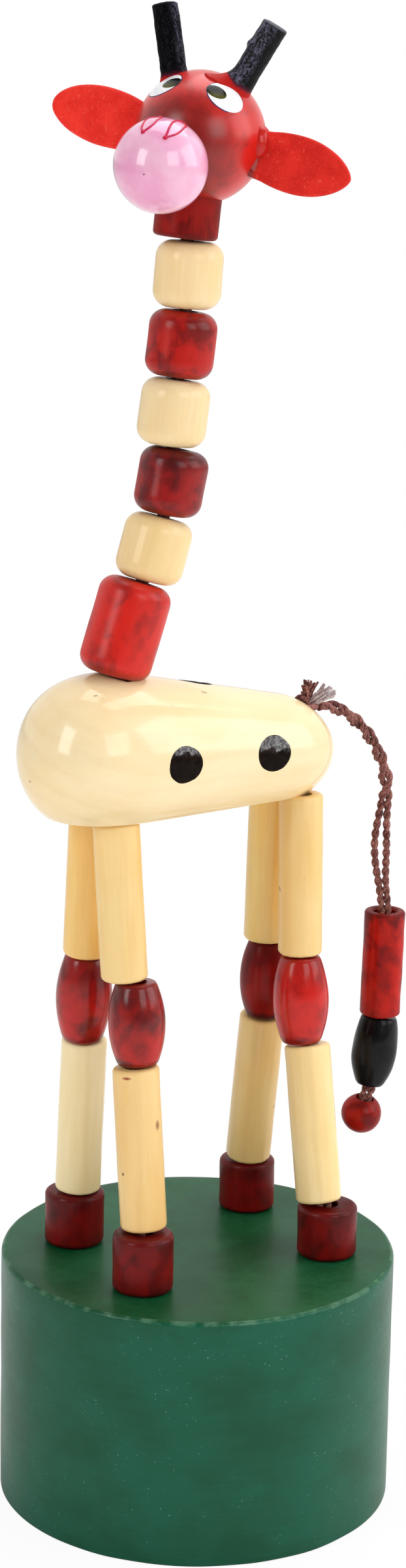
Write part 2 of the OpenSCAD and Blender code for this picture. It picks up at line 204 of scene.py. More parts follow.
# Varnished wood: fibres along the piece, faint year rings, short pores, a few specks and any single marks
def woodLook(name, pale, deep, ring, gloss=0.4, bare=False, marks=(), peel=0.0, coat=0.45):
    made, w = blank(name)
    spot = plankOf(w) if bare else grainOf(w)
    x, y = partsOf(w, spot)[:2]
    fibre = clouds(w, spot, (2.6, 2.6, 0.13), 4.0)
    drift = clouds(w, spot, (0.14, 0.14, 0.05), 2.0)
    away = ((x + 6.0) * (x + 6.0) + (y - 3.0) * (y - 3.0)) ** 0.5
    lines = rise(w, w.maths("SINE", away * 2.3 + drift * 9.0), 0.1, 1.0)
    pores = rise(w, clouds(w, spot, (7.0, 7.0, 0.8), 2.0), 0.58, 0.74)
    specks = rise(w, clouds(w, spot, (0.9, 0.9, 0.7), 0.0), 0.86, 0.89)
    base = mixed(w, rise(w, fibre * 0.22 + drift * 0.78, 0.3, 0.72), pale, deep)
    base = mixed(w, lines * 0.06, base, ring)
    base = mixed(w, pores * 0.1, base, ring)
    base = mixed(w, specks * 0.6, base, shade(120, 78, 44))
    for mark in marks:
        off = w.node("VectorMath", {"operation": "SUBTRACT"}, {0: spot, 1: mark["at"]})
        off = w.node("VectorMath", {"operation": "DIVIDE"}, {0: off, 1: mark["size"]})
        far = w.node("VectorMath", {"operation": "LENGTH"}, {0: off}, "Value")
        base = mixed(w, (1.0 - rise(w, far + fibre * 0.5, 0.6, 1.3)) * mark["depth"], base, mark["colour"])
    wave = clouds(w, spot, (0.7, 0.7, 0.35), 2.0) + clouds(w, spot, (1.7, 1.7, 1.3), 2.0, 0.6) * peel
    return coated(made, w, base, gloss + fibre * 0.1, bumped(w, wave + fibre * 0.15 - pores * 0.2, 0.3, 0.08),
                  Coat_Weight=0.0 if bare else coat, Coat_Roughness=0.12)


# Red stain under varnish: blotches, fibres and darker ends; on the head the darker end is painted shade round
# the muzzle
def stainLook(name, bright, dark, topDarkAndShade, footDark, blotch=(0.40, 0.66), coat=0.3, deepestAndShade=shade(62, 12, 12),
              topReach=(0.72, 1.12), streak=0.3, size=0.36, veil=0.22):
    made, w = blank(name)
    spot, along = grainOf(w), alongOf(w)
    fibre = clouds(w, spot, (3.2, 3.2, 0.22), 4.0)
    cloud = clouds(w, spot, (size, size, size * 0.8), 4.0, 0.4)
    fine = clouds(w, spot, (2.2, 2.2, 1.8), 3.0)
    base = mixed(w, rise(w, cloud * (1.0 - streak * 0.6) + fibre * (streak * 0.6), *blotch), bright, dark)
    base = mixed(w, rise(w, fibre, 0.52, 0.75) * streak, base, dark)
    base = mixed(w, rise(w, fine, 0.68, 0.82) * 0.25, base, shade(220, 84, 70))
    # darker ends of the stain; on the head the end towards the muzzle is painted shade
    top = rise(w, along + cloud * 0.3, *topReach) * topDarkAndShade
    foot = (1.0 - rise(w, along - cloud * 0.16, -0.04, 0.05)) * footDark
    base = mixed(w, top + foot, base, deepestAndShade)
    return coated(made, w, base, 0.42 + fine * 0.16, bumped(w, fibre * 0.5 + cloud, 0.3, 0.08),
                  Coat_Weight=coat, Coat_Roughness=veil)


# Green paint: brushed round the side, duller on top, worn pale along the top rim, with dust specks
def drumLook(name):
    made, w = blank(name)
    spot = grainOf(w)
    x, y, z = partsOf(w, spot)
    out = (x * x + y * y) ** 0.5
    brush = clouds(w, spot, (0.09, 0.09, 3.2), 4.0)
    cloud = clouds(w, spot, (0.09, 0.09, 0.12), 4.0)
    fine = clouds(w, spot, (1.5, 1.5, 1.5), 2.0)
    base = mixed(w, rise(w, brush * 0.2 + cloud * 0.8, 0.34, 0.66), shade(10, 76, 50), shade(16, 89, 66))
    onTop = rise(w, z, 35.2, 35.55)
    topPaint = mixed(w, rise(w, cloud * 0.7 + fine * 0.3, 0.36, 0.66), shade(8, 68, 35), shade(28, 88, 55))
    base = mixed(w, onTop, base, topPaint)
    dust = rise(w, clouds(w, spot, (3.2, 3.2, 3.2), 1.0), 0.73, 0.77) * rise(w, cloud, 0.42, 0.64)
    base = mixed(w, dust * (1.0 - onTop) * 0.5, base, shade(150, 186, 176))
    edge = rise(w, out, 26.85, 27.1) * rise(w, z, 34.95, 35.25)
    worn = edge * rise(w, clouds(w, spot, (0.5, 0.5, 0.5), 3.0), 0.4, 0.66)
    base = mixed(w, worn * 0.32, base, shade(120, 160, 130))
    return coated(made, w, base, 0.36 + fine * 0.14, bumped(w, brush * 0.4 + cloud * 0.6, 0.3, 0.08),
                  Coat_Weight=0.24 - onTop * 0.14, Coat_Roughness=0.2)


def pinkLook(name):
    made, w = blank(name)
    spot = grainOf(w)
    cloud = clouds(w, spot, (0.2, 0.2, 0.2), 3.0)
    fine = clouds(w, spot, (2.4, 2.4, 2.4), 3.0)
    base = mixed(w, rise(w, cloud, 0.34, 0.68), shade(242, 186, 212), shade(233, 158, 194))
    return coated(made, w, base, 0.2 + fine * 0.08, bumped(w, cloud + fine * 0.1, 0.2, 0.05),
                  Coat_Weight=1.0, Coat_Roughness=0.1)


# Black sticks, a little worn, with a painted highlight of pale grey down the side towards the light, and the
# head's red run up round their feet
def hornLook(name, redFoot, worn, shine, litSide):
    made, w = blank(name)
    spot = grainOf(w)
    x, y, z = partsOf(w, spot)
    bark = clouds(w, spot, (1.6, 1.6, 0.45), 4.0, 0.6)
    fine = clouds(w, spot, (5.0, 5.0, 3.0), 3.0)
    base = mixed(w, rise(w, fine, 0.5, 0.8), shade(6, 5, 6), shade(26, 24, 28))
    # painted highlight: a pale grey band on the side towards the light, as strong as worn says, over light
    # rubbing everywhere
    highlightBand = rise(w, (x * litSide[0] + y * litSide[1]) * 0.6, 0.5, 0.98)
    rubbedAndHighlight = rise(w, bark * 0.4 + fine * 0.6, 0.42, 0.68) * (highlightBand * worn + 0.04)
    base = mixed(w, rubbedAndHighlight, base, shade(112, 112, 134))
    base = mixed(w, rise(w, z, 8.95, 9.15) * 0.5, base, shade(104, 106, 116))
    out = (x * x + y * y) ** 0.5
    foot = 1.0 - rise(w, z + bark * 0.6 - rise(w, out, 1.7, 3.0) * 2.0, redFoot - 1.0, redFoot + 0.5)
    base = mixed(w, rise(w, foot, 0.0, 0.5), base, shade(70, 24, 40))
    base = mixed(w, rise(w, foot, 0.4, 1.0), base, shade(186, 26, 20))
    return coated(made, w, base, 0.4 + fine * 0.2, bumped(w, bark + fine * 0.7, 0.5, 0.14),
                  Specular_IOR_Level=shine)


# Soft dyed leather with a napped face, glossy where the glue at its root has run, and darkened there with
# painted shade where it meets the head
def earLook(name, glueAndShadeTo, deep, pale):
    made, w = blank(name)
    spot = grainOf(w)
    x = partsOf(w, spot)[0]
    nap = clouds(w, spot, (4.5, 4.5, 4.5), 4.0)
    fleck = clouds(w, spot, (2.6, 1.5, 2.6), 2.0, 0.5)
    cloud = clouds(w, spot, (0.3, 0.3, 0.3), 3.0)
    base = mixed(w, rise(w, nap * 0.4 + cloud * 0.6, 0.36, 0.64), deep, pale)
    base = mixed(w, rise(w, fleck, 0.6, 0.76) * 0.4, base, shade(248, 118, 100))
    # the root's mask gives the glue its gloss and paints shade where the ear meets the head
    glue = 1.0 - rise(w, x + cloud * 0.8, glueAndShadeTo - 0.5, glueAndShadeTo + 0.5)
    base = mixed(w, glue, base, shade(132, 20, 15))
    return coated(made, w, base, 0.75 + nap * 0.15 - glue * 0.45, bumped(w, nap * (1.0 - glue), 0.4, 0.12),
                  Sheen_Weight=0.15, Coat_Weight=glue * 0.6, Coat_Roughness=0.12)


# Painted marks: one colour drifting to a near one
def markLook(name, first, second, gloss, wrinkle, coat=0.4, size=0.9, level=0.1, glazed=0.0):
    made, w = blank(name)
    spot = grainOf(w)
    cloud = clouds(w, spot, (size, size, size), 3.0)
    creased = clouds(w, spot, (2.6, 2.6, 2.6), 2.0, 0.8)
    base = mixed(w, rise(w, cloud, 0.38, 0.64), first, second)
    if glazed:
        # thick paint has a crinkled glaze where it faces up
        up = partsOf(w, w.node("NewGeometry", {}, {}, "Normal"))[2]
        facing = rise(w, up + creased * 0.12, 0.2, 0.32) * (1.0 - rise(w, up, 0.5, 0.7))
        coat = facing * (0.3 + rise(w, creased, 0.42, 0.62) * 0.7) * glazed + coat
    return coated(made, w, base, gloss + cloud * 0.08, bumped(w, creased, wrinkle, 0.12),
                  Specular_IOR_Level=level, Coat_Weight=coat, Coat_Roughness=0.1,
                  Coat_IOR=2.0 if glazed else 1.5)


# Pupils run from black to olive at their lower rim
def pupilLook(name):
    made, w = blank(name)
    spot, along = grainOf(w), alongOf(w)
    cloud = clouds(w, spot, (0.8, 0.8, 0.8), 3.0)
    base = mixed(w, rise(w, along + cloud * 0.5, 0.35, 0.9), shade(84, 82, 34), shade(12, 11, 14))
    return coated(made, w, base, 0.2 + cloud * 0.1, bumped(w, cloud, 0.1, 0.05),
                  Coat_Weight=0.2, Coat_Roughness=0.1)


def cordLook(name, pale, dark):
    made, w = blank(name)
    spot = grainOf(w)
    hair = clouds(w, spot, (6.0, 6.0, 2.4), 3.0)
    cloud = clouds(w, spot, (0.5, 0.5, 0.5), 3.0)
    base = mixed(w, rise(w, hair * 0.6 + cloud * 0.4, 0.38, 0.64), dark, pale)
    # painted highlights: pale glints on the hairs
    base = mixed(w, rise(w, hair, 0.66, 0.8) * 0.5, base, shade(206, 170, 160))
    return coated(made, w, base, 0.6 + hair * 0.25, bumped(w, hair, 0.5, 0.1))


def steelLook(name):
    made, w = blank(name)
    spot = grainOf(w)
    drawn = clouds(w, spot, (3.0, 3.0, 3.0), 3.0)
    base = mixed(w, drawn, shade(150, 150, 154), shade(196, 196, 200))
    return coated(made, w, base, 0.26 + drawn * 0.14, bumped(w, drawn, 0.2, 0.03), Metallic=1.0)


# Knots and smears on the near front shin, in its own millimetres
shinMarks = [
    {"at": (1.35, -2.9, 14.9), "size": (0.5, 0.5, 0.95), "depth": 0.85, "colour": shade(150, 92, 44)},
    {"at": (-3.1, -0.6, 8.3), "size": (0.28, 0.28, 0.28), "depth": 1.0, "colour": shade(120, 70, 32)},
    {"at": (-2.4, -1.8, 21.9), "size": (0.8, 0.8, 0.3), "depth": 0.9, "colour": shade(150, 44, 30)},
]
looks = {
    "drum": drumLook("greenPaint"),
    "cream": woodLook("creamWood", shade(246, 222, 176), shade(241, 206, 144), shade(206, 158, 96)),
    "torso": woodLook("torsoWood", shade(251, 230, 186), shade(247, 218, 164), shade(218, 172, 112),
                      peel=0.9, coat=0.9),
    "leg": woodLook("legWood", shade(246, 213, 148), shade(240, 196, 120), shade(204, 148, 80)),
    "paleLeg": woodLook("paleLegWood", shade(252, 234, 190), shade(248, 224, 168), shade(210, 170, 112)),
    "markedLeg": woodLook("markedLegWood", shade(245, 209, 144), shade(240, 194, 118), shade(204, 148, 80),
                          marks=shinMarks),
    "farLeg": woodLook("farLegWood", shade(248, 206, 128), shade(240, 186, 98), shade(196, 134, 62)),
    # painted light: lighter copies of the leg wood for the far rear thigh, which lies in shadow, and for the
    # near rear shin
    "paintedLightThigh": woodLook("paintedLightThighWood", shade(255, 226, 150), shade(252, 208, 122), shade(206, 146, 74)),
    "paintedLightShin": woodLook("paintedLightShinWood", shade(253, 228, 172), shade(249, 214, 146), shade(208, 158, 92)),
    "plate": woodLook("plateWood", shade(232, 200, 150), shade(218, 178, 122), shade(180, 132, 80),
                      gloss=0.55, bare=True),
    "bead": stainLook("redStain", shade(184, 22, 12), shade(122, 10, 8), 0.3, 0.35, coat=0.4, streak=0.15),
    "rootBead": stainLook("brightRedStain", shade(210, 30, 18), shade(158, 20, 14), 0.1, 0.4,
                          blotch=(0.42, 0.72), coat=0.5, streak=0.12, veil=0.3),
    "darkBead": stainLook("darkRedStain", shade(154, 22, 20), shade(96, 10, 14), 0.7, 0.3,
                          coat=0.4, streak=0.15),
    "knee": stainLook("kneeStain", shade(186, 19, 10), shade(104, 8, 6), 0.55, 0.6, blotch=(0.36, 0.7),
                      coat=0.6, topReach=(0.5, 1.15), streak=0.1, size=0.3, veil=0.18),
    "brightKnee": stainLook("brightKneeStain", shade(204, 24, 12), shade(150, 12, 8), 0.4, 0.5,
                            blotch=(0.36, 0.74), coat=0.6, streak=0.1, size=0.3, veil=0.18),
    "shadedKnee": stainLook("shadedKneeStain", shade(150, 16, 9), shade(92, 7, 6), 0.4, 0.8,
                            blotch=(0.34, 0.78), coat=0.2, streak=0.08, size=0.24),
    "hoof": stainLook("hoofStain", shade(124, 12, 8), shade(74, 6, 5), 0.4, 0.35, blotch=(0.36, 0.74),
                      coat=0.2, deepestAndShade=shade(46, 5, 6), streak=0.1, size=0.34),
    "collar": stainLook("collarStain", shade(144, 18, 10), shade(100, 10, 8), 0.2, 0.35, coat=0.1),
    "ball": stainLook("ballStain", shade(166, 22, 12), shade(112, 12, 9), 0.2, 0.3, coat=0.2, streak=0.1),
    "tube": stainLook("tubeStain", shade(190, 26, 14), shade(126, 14, 10), 0.8, 0.3,
                      coat=0.15, topReach=(1.02, 1.14), streak=0.1),
    # the head darkens towards the muzzle with painted shade
    "head": stainLook("headStain", shade(212, 28, 18), shade(176, 20, 14), 0.8, 0.0, blotch=(0.46, 0.76),
                      coat=0.9, deepestAndShade=shade(104, 16, 10), topReach=(0.82, 1.12), streak=0.15, veil=0.28),
    "pink": pinkLook("pinkPaint"),
    # the third number sets how strong each horn's painted highlight band is
    "hornPlain": hornLook("blackStick", 0.4, 0.5, 0.02, (0.06, -1.00)),
    "hornFlared": hornLook("blackStickFlared", 0.9, 0.85, 0.12, (-0.98, 0.18)),
    "ear": earLook("redLeather", 0.0, shade(224, 38, 28), shade(246, 56, 44)),
    "glue": stainLook("glueStain", shade(202, 28, 20), shade(178, 22, 16), 0.0, 0.0, blotch=(0.46, 0.76),
                      coat=0.6, streak=0.0, veil=0.13),
    "gluedEar": earLook("gluedRedLeather", 1.2, shade(200, 30, 22), shade(226, 46, 35)),
    "eyeWhite": markLook("eyeWhite", shade(250, 250, 251), shade(238, 239, 243), 0.2, 0.05),
    "eyeLine": markLook("eyeLine", shade(44, 40, 96), shade(70, 58, 118), 0.3, 0.1),
    "pupil": pupilLook("eyePupil"),
    "nostril": markLook("nostrilPaint", shade(208, 26, 62), shade(190, 36, 84), 0.3, 0.2, 0.2),
    "speck": markLook("plumSpeck", shade(160, 96, 124), shade(130, 80, 110), 0.4, 0.1, 0.1),
    "spot": markLook("spotPaint", shade(16, 9, 6), shade(28, 17, 10), 0.5, 1.2, 0.03,
                     level=0.02, glazed=0.75),
    "barrel": markLook("blackPaint", shade(10, 10, 12), shade(22, 21, 24), 0.3, 0.12, 0.15, 0.3),
    "cord": cordLook("brownCord", shade(178, 122, 114), shade(82, 45, 43)),
    "paleCord": cordLook("paleCord", shade(206, 196, 198), shade(146, 112, 112)),
    "steel": steelLook("springSteel"),
}
print("materials made:", len(looks))


# Pale floor under a soft studio light
def floorLook(name):
    made, w = blank(name)
    spot = w.node("TexCoord", {}, {}, "Object")
    cloud = clouds(w, spot, (9.0, 9.0, 9.0), 3.0)
    paper = w.node("BsdfDiffuse", {}, {"Color": mixed(w, cloud, shade(246, 246, 245), shade(251, 251, 250))})
    glow = w.node("Emission", {}, {"Color": shade(255, 255, 255), "Strength": 1.0})
    seen = w.node("LightPath", {}, {}, "Is Camera Ray")
    away = w.node("VectorMath", {"operation": "LENGTH"}, {0: spot}, "Value")
    white = seen * (0.93 + rise(w, away, 0.04, 0.16) * 0.07)
    w.node("OutputMaterial", {}, {"Surface": w.node("MixShader", {}, {0: white, 1: paper, 2: glow})})
    return made


flat = bmesh.new()
bmesh.ops.create_grid(flat, x_segments=1, y_segments=1, size=9)
floor = bpy.data.objects.new("floor", asMesh(flat, "floor"))
scene.collection.objects.link(floor)
floor.data.materials.append(floorLook("paleFloor"))

lamps = [
    {"name": "softboxLeft", "turn": -50, "height": 26, "away": 0.75, "size": (0.26, 0.44), "power": 1.9},
    {"name": "softboxRight", "turn": 32, "height": 26, "away": 0.75, "size": (0.34, 0.4), "power": 1.4},
    {"name": "sideRight", "turn": 82, "height": 24, "away": 0.9, "size": (0.6, 0.6), "power": 3.0},
    {"name": "overhead", "turn": 150, "height": 68, "away": 0.9, "size": (0.7, 0.7), "power": 4.5},
]
lampAim = Vector((0, 0, 0.11))
for lamp in lamps:
    made = bpy.data.objects.new(lamp["name"], bpy.data.lights.new(lamp["name"], "AREA"))
    scene.collection.objects.link(made)
    made.data.shape = "RECTANGLE"
    made.data.size, made.data.size_y = lamp["size"]
    made.data.energy = lamp["power"]
    bearing = math.radians(cameraSpec["heading"] + 180 + lamp["turn"])
    climb = math.radians(lamp["height"])
    side = Vector((math.cos(bearing) * math.cos(climb), math.sin(bearing) * math.cos(climb), math.sin(climb)))
    made.location = lampAim + side * lamp["away"]
    made.rotation_euler = side.to_track_quat("Z", "Y").to_euler()

world = bpy.data.worlds.new("studio")
scene.world = world
world.use_nodes = True
world.node_tree.nodes.clear()
air = Wire(world.node_tree)
seen = air.node("LightPath", {}, {}, "Is Camera Ray")
mirrored = air.node("LightPath", {}, {}, "Is Glossy Ray")
heading = air.node("TexCoord", {}, {}, "Generated")
facing = air.node("VectorMath", {"operation": "DOT_PRODUCT"}, {0: heading, 1: -camAhead}, "Value")
sideways = air.node("VectorMath", {"operation": "DOT_PRODUCT"}, {0: heading, 1: camRight}, "Value")
# the room is bright all round, more so on the right, and dark behind the camera
room = (1.0 - rise(air, facing, 0.3, 0.9) * 0.8) * (0.5 + sideways * 0.12)
shine = 1.0 - rise(air, facing, -0.2, 0.6) * 0.85
lit = room + mirrored * (shine - room)
sky = air.node("Background", {}, {"Color": shade(255, 255, 255), "Strength": lit + seen * (1.0 - lit)})
air.node("OutputWorld", {}, {"Surface": sky})
scene.view_settings.view_transform = "Standard"
print("light and floor set")


# Turned pieces: a profile, in millimetres unless a unit is given, from the lower end up, spun round Z
def turn(points, sides=72, closed=True, unit=mm):
    bm = bmesh.new()
    ring = [bm.verts.new((r * unit, 0, z * unit)) for r, z in points]
    pairs = list(zip(ring, ring[1:])) + ([(ring[-1], ring[0])] if closed else [])
    wire = [bm.edges.new(pair) for pair in pairs]
    bmesh.ops.spin(bm, geom=ring + wire, cent=(0, 0, 0), axis=(0, 0, 1), dvec=(0, 0, 0), angle=2 * math.pi,
                   steps=sides, use_merge=True)
    bmesh.ops.remove_doubles(bm, verts=bm.verts[:], dist=1e-6)
    bmesh.ops.recalc_face_normals(bm, faces=bm.faces[:])
    return bm


def arc(r, z, radius, first, last, steps=8):
    turns = [math.radians(first + (last - first) * k / steps) for k in range(steps + 1)]
    return [(r + radius * math.cos(t), z + radius * math.sin(t)) for t in turns]


def straight(first, last, steps):
    return [(first[0] + (last[0] - first[0]) * k / steps, first[1] + (last[1] - first[1]) * k / steps)
            for k in range(1, steps)]


def beadProfile(across, tall, edge, bore, lip=0.15):
    r, hole = across / 2, bore / 2
    low, high = arc(r - edge, edge, edge, -90, 0), arc(r - edge, tall - edge, edge, 0, 90)
    return ([(hole, lip), (hole + lip, 0)] + low + straight(low[-1], high[0], 12) + high
            + [(hole + lip, tall), (hole, tall - lip)])


def barrelProfile(across, end, tall, bore, lip=0.15, foot=None):
    hole, steps = bore / 2, 26
    ends = [foot or end if 2 * k < steps else end for k in range(steps + 1)]
    swell = []
    for k in range(steps + 1):
        fall = (2 * k / steps - 1) ** 2
        swell.append((across / 2 - (across - ends[k]) / 2 * fall, tall * k / steps))
    lower = [(ends[0] / 2 - 0.22, 0), (ends[0] / 2 - 0.06, 0.07)]
    upper = [(end / 2 - 0.06, tall - 0.07), (end / 2 - 0.22, tall)]
    return ([(hole, lip), (hole + lip, 0)] + lower + swell[1:-1] + upper
            + [(hole + lip, tall), (hole, tall - lip)])


def ball(bm, radius, sides, place=Matrix()):
    bmesh.ops.create_uvsphere(bm, u_segments=sides, v_segments=sides // 2, radius=radius * mm, matrix=place)
    return bm


def fillHoles(bm):
    bmesh.ops.holes_fill(bm, edges=[e for e in bm.edges if e.is_boundary], sides=0)


# Cut along a plane, with the cut closed again
def sawn(bm, point, facing, **drop):
    bmesh.ops.bisect_plane(bm, geom=bm.verts[:] + bm.edges[:] + bm.faces[:], dist=1e-7, plane_co=point,
                           plane_no=facing, **drop)
    fillHoles(bm)


# Hand work: slow waves over a surface, and faint flats along a dowel. A piece's wave gives their height, how
# close they lie and their seed
def wobble(bm, amount, size, seed):
    bm.normal_update()
    for v in bm.verts:
        v.co += v.normal * (noise.noise(v.co / mm * size + Vector((seed, 2.3 * seed, 0.7))) * amount * mm)


def planed(bm, seed, flats, deep):
    draw = random.Random(seed)
    step = 2 * math.pi / flats
    cuts = [(k + draw.uniform(-0.25, 0.25)) * step for k in range(flats)]
    for v in bm.verts:
        if math.hypot(v.co.x, v.co.y) < 2 * mm:
            continue
        angle = math.atan2(v.co.y, v.co.x)
        near = min(abs(math.remainder(angle - cut, 2 * math.pi)) for cut in cuts)
        share = 1 - deep * max(0.0, 1 - (2 * near / step) ** 2)
        v.co.x *= share
        v.co.y *= share


# The grain follows each piece's own frame, and no two pieces share a stretch of it
def settle(spec, bm, place):
    mesh = asMesh(bm, spec["name"])
    draw = random.Random(spec["name"])
    shift = Vector([draw.uniform(-40, 40) if spec.get("drift", True) else 0.0 for k in range(3)])
    heights = [v.co.z for v in mesh.vertices]
    low, tall = min(heights), max(max(heights) - min(heights), 1e-6)
    mesh.attributes.new("grain", "FLOAT_VECTOR", "POINT")
    mesh.attributes.new("along", "FLOAT", "POINT")
    mesh.attributes["grain"].data.foreach_set("vector", [c for v in mesh.vertices for c in v.co / mm + shift])
    mesh.attributes["along"].data.foreach_set("value", [(z - low) / tall for z in heights])
    mesh.transform(place)
    mesh.shade_smooth()
    mesh.set_sharp_from_angle(angle=math.radians(spec.get("sharp", 38)))
    made = bpy.data.objects.new(spec["name"], mesh)
    scene.collection.objects.link(made)
    for look in spec["looks"]:
        mesh.materials.append(looks[look])
    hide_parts(*spec["nodes"])
    if "body" in spec:
        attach(made, spec["body"])
    return made


# Swept pieces: round wire along routes in millimetres
def sweep(name, routes, radius, fine=2, cyclic=False):
    curve = bpy.data.curves.new(name, "CURVE")
    curve.dimensions = "3D"
    curve.bevel_depth = radius * mm
    curve.bevel_resolution = fine
    curve.use_fill_caps = True
    for route in routes:
        line = curve.splines.new("POLY")
        line.points.add(len(route) - 1)
        for point, place in zip(line.points, route):
            point.co = (*(Vector(place) * mm), 1)
        line.use_cyclic_u = cyclic
    holder = bpy.data.objects.new(name + "Wire", curve)
    scene.collection.objects.link(holder)
    bpy.context.view_layer.update()
    mesh = bpy.data.meshes.new_from_object(holder.evaluated_get(bpy.context.evaluated_depsgraph_get()))
    bpy.data.objects.remove(holder)
    bpy.data.curves.remove(curve)
    bm = fromMesh(mesh)
    bmesh.ops.recalc_face_normals(bm, faces=bm.faces[:])
    return bm


def flowing(points, step):
    p = [Vector(q) for q in points]
    p = [2 * p[0] - p[1]] + p + [2 * p[-1] - p[-2]]
    out = []
    for a, b, c, d in zip(p, p[1:], p[2:], p[3:]):
        count = max(1, round((c - b).length / step))
        for k in range(count):
            t = k / count
            near = 2 * b + (c - a) * t + (2 * a - 5 * b + 4 * c - d) * t ** 2
            out.append(0.5 * (near + (3 * b - a - 3 * c + d) * t ** 3))
    return out + [p[-2]]


# A simple knot, as a closed loop round the origin
def knotLoop(count, reach, deep, middle):
    loop = []
    for k in range(count):
        t = 2 * math.pi * k / count
        loop.append((reach * (math.sin(t) + 2 * math.sin(2 * t)), reach * (math.cos(t) - 2 * math.cos(2 * t)),
                     middle - deep * math.sin(3 * t)))
    return loop


# Drum with its push plate, spring and knots
drum = {"name": "baseDrum", "nodes": ["base_drum"], "slot": "green_paint", "body": "base", "looks": ["drum"],
        "across": 55, "tall": 35.6, "cavity": 46, "cavityTop": 28.6, "rim": 0.7, "foot": 0.5,
        "wave": (0.07, 0.16, 4), "drift": False}
r, rim, foot = drum["across"] / 2, drum["rim"], drum["foot"]
drumSide = arc(r - foot, foot, foot, -90, 0, 5)
drumRim = arc(r - rim, drum["tall"] - rim, rim, 0, 90, 8)
drumTop = straight(drumRim[-1], (0, drum["tall"]), 12)
cavity = [(0, drum["cavityTop"]), (drum["cavity"] / 2, drum["cavityTop"]), (drum["cavity"] / 2, 0)]
drumWall = straight(drumSide[-1], drumRim[0], 24)
bm = turn(cavity + drumSide + drumWall + drumRim + drumTop + [(0, drum["tall"])], 160, False)
wobble(bm, *drum["wave"])
settle(drum, bm, Matrix())

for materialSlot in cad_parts["push_plate"].material_slots:
    materialSlot.material = looks["plate"]

spring = {"name": "returnSpring", "nodes": ["return_spring"], "slot": "spring_steel", "body": "base",
          "looks": ["steel"], "across": 15, "wire": 1.1, "turns": 6, "low": 7.68, "high": 27.92, "keep": 0.63}
coil = []
for k in range(spring["turns"] * 40 + 1):
    part = k / (spring["turns"] * 40)
    angle = part * spring["turns"] * 2 * math.pi
    coil.append((spring["across"] / 2 * math.cos(angle), spring["across"] / 2 * math.sin(angle),
                 spring["low"] + (spring["high"] - spring["low"]) * part))
made = settle(spring, sweep("coil", [coil], spring["wire"] / 2, 3), Matrix())
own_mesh(made)

# A leg's rises are how far its ankle, knee and thigh seats lie above their nominal height, as no two sets of
# beads are cut alike
legs = {
    "frontLeft": {"node": "front_left", "hoof": (-14.2, -9.8), "shin": (-14.5, -9.167, 43.612), "shinLean": 4,
                  "knee": (-14.5, -7.212, 65.888), "thigh": (-15.6, -5.367, 77.99), "thighLean": 4,
                  "hip": (-15.6, -3.133, 100.448), "shinLook": "markedLeg", "thighLook": "leg",
                  "shinTip": -1.9, "thighTip": -2.2, "shinSlip": 0.35, "kneeSlip": 0.5,
                  "rises": (0.6, 1.0, 0.65)},
    "frontRight": {"node": "front_right", "hoof": (-14.4, 9.8), "shin": (-14.3, 9.167, 43.612), "shinLean": 4,
                   "knee": (-14.9, 7.212, 65.888), "thigh": (-15.4, 5.367, 77.99), "thighLean": 4,
                   "hip": (-15.4, 3.133, 100.448), "shinLook": "paleLeg", "thighLook": "farLeg",
                   "rises": (0.2, 0.5, 1.3)},
    "rearLeft": {"node": "rear_left", "hoof": (14.8, -10.4), "shin": (13.5, -10.099, 43.846), "shinLean": 11,
                 "knee": (12.7, -5.612, 66.009), "thigh": (12.9, -4.384, 78.121), "thighLean": 2,
                 "hip": (12.9, -2.916, 100.448), "shinLook": "paintedLightShin", "thighLook": "leg",
                 "kneeLook": "brightKnee", "thighAcross": 6.1, "rises": (-0.2, -0.4, 0), "hipUp": 0.3},
    "rearRight": {"node": "rear_right", "hoof": (14, 10.4), "shin": (13.6, 9.531, 43.732), "shinLean": 8,
                  "knee": (13.5, 5.612, 65.969), "thigh": (12.7, 4.384, 78.101), "thighLean": 2,
                  "hip": (12.7, 2.916, 100.448), "shinLook": "leg", "thighLook": "paintedLightThigh",
                  "kneeLook": "shadedKnee", "hoofAcross": 7.9, "rises": (0, 0.3, -0.2)},
}
hoofTop, kneeLean = 43.1, 4

knots = {"name": "cordKnots", "nodes": ["cord_knots"], "slot": "brown_cord", "body": "plate",
         "looks": ["cord"], "middle": 3.3, "reach": 0.27, "wire": 0.42}
knot = knotLoop(48, knots["reach"], 1.6 * knots["reach"], knots["middle"])
loops = [[(leg["hoof"][0] + x, leg["hoof"][1] + y, z) for x, y, z in knot] for leg in legs.values()]
settle(knots, sweep("knots", loops, knots["wire"], 2, True), Matrix())
print("drum, plate, spring and knots made")


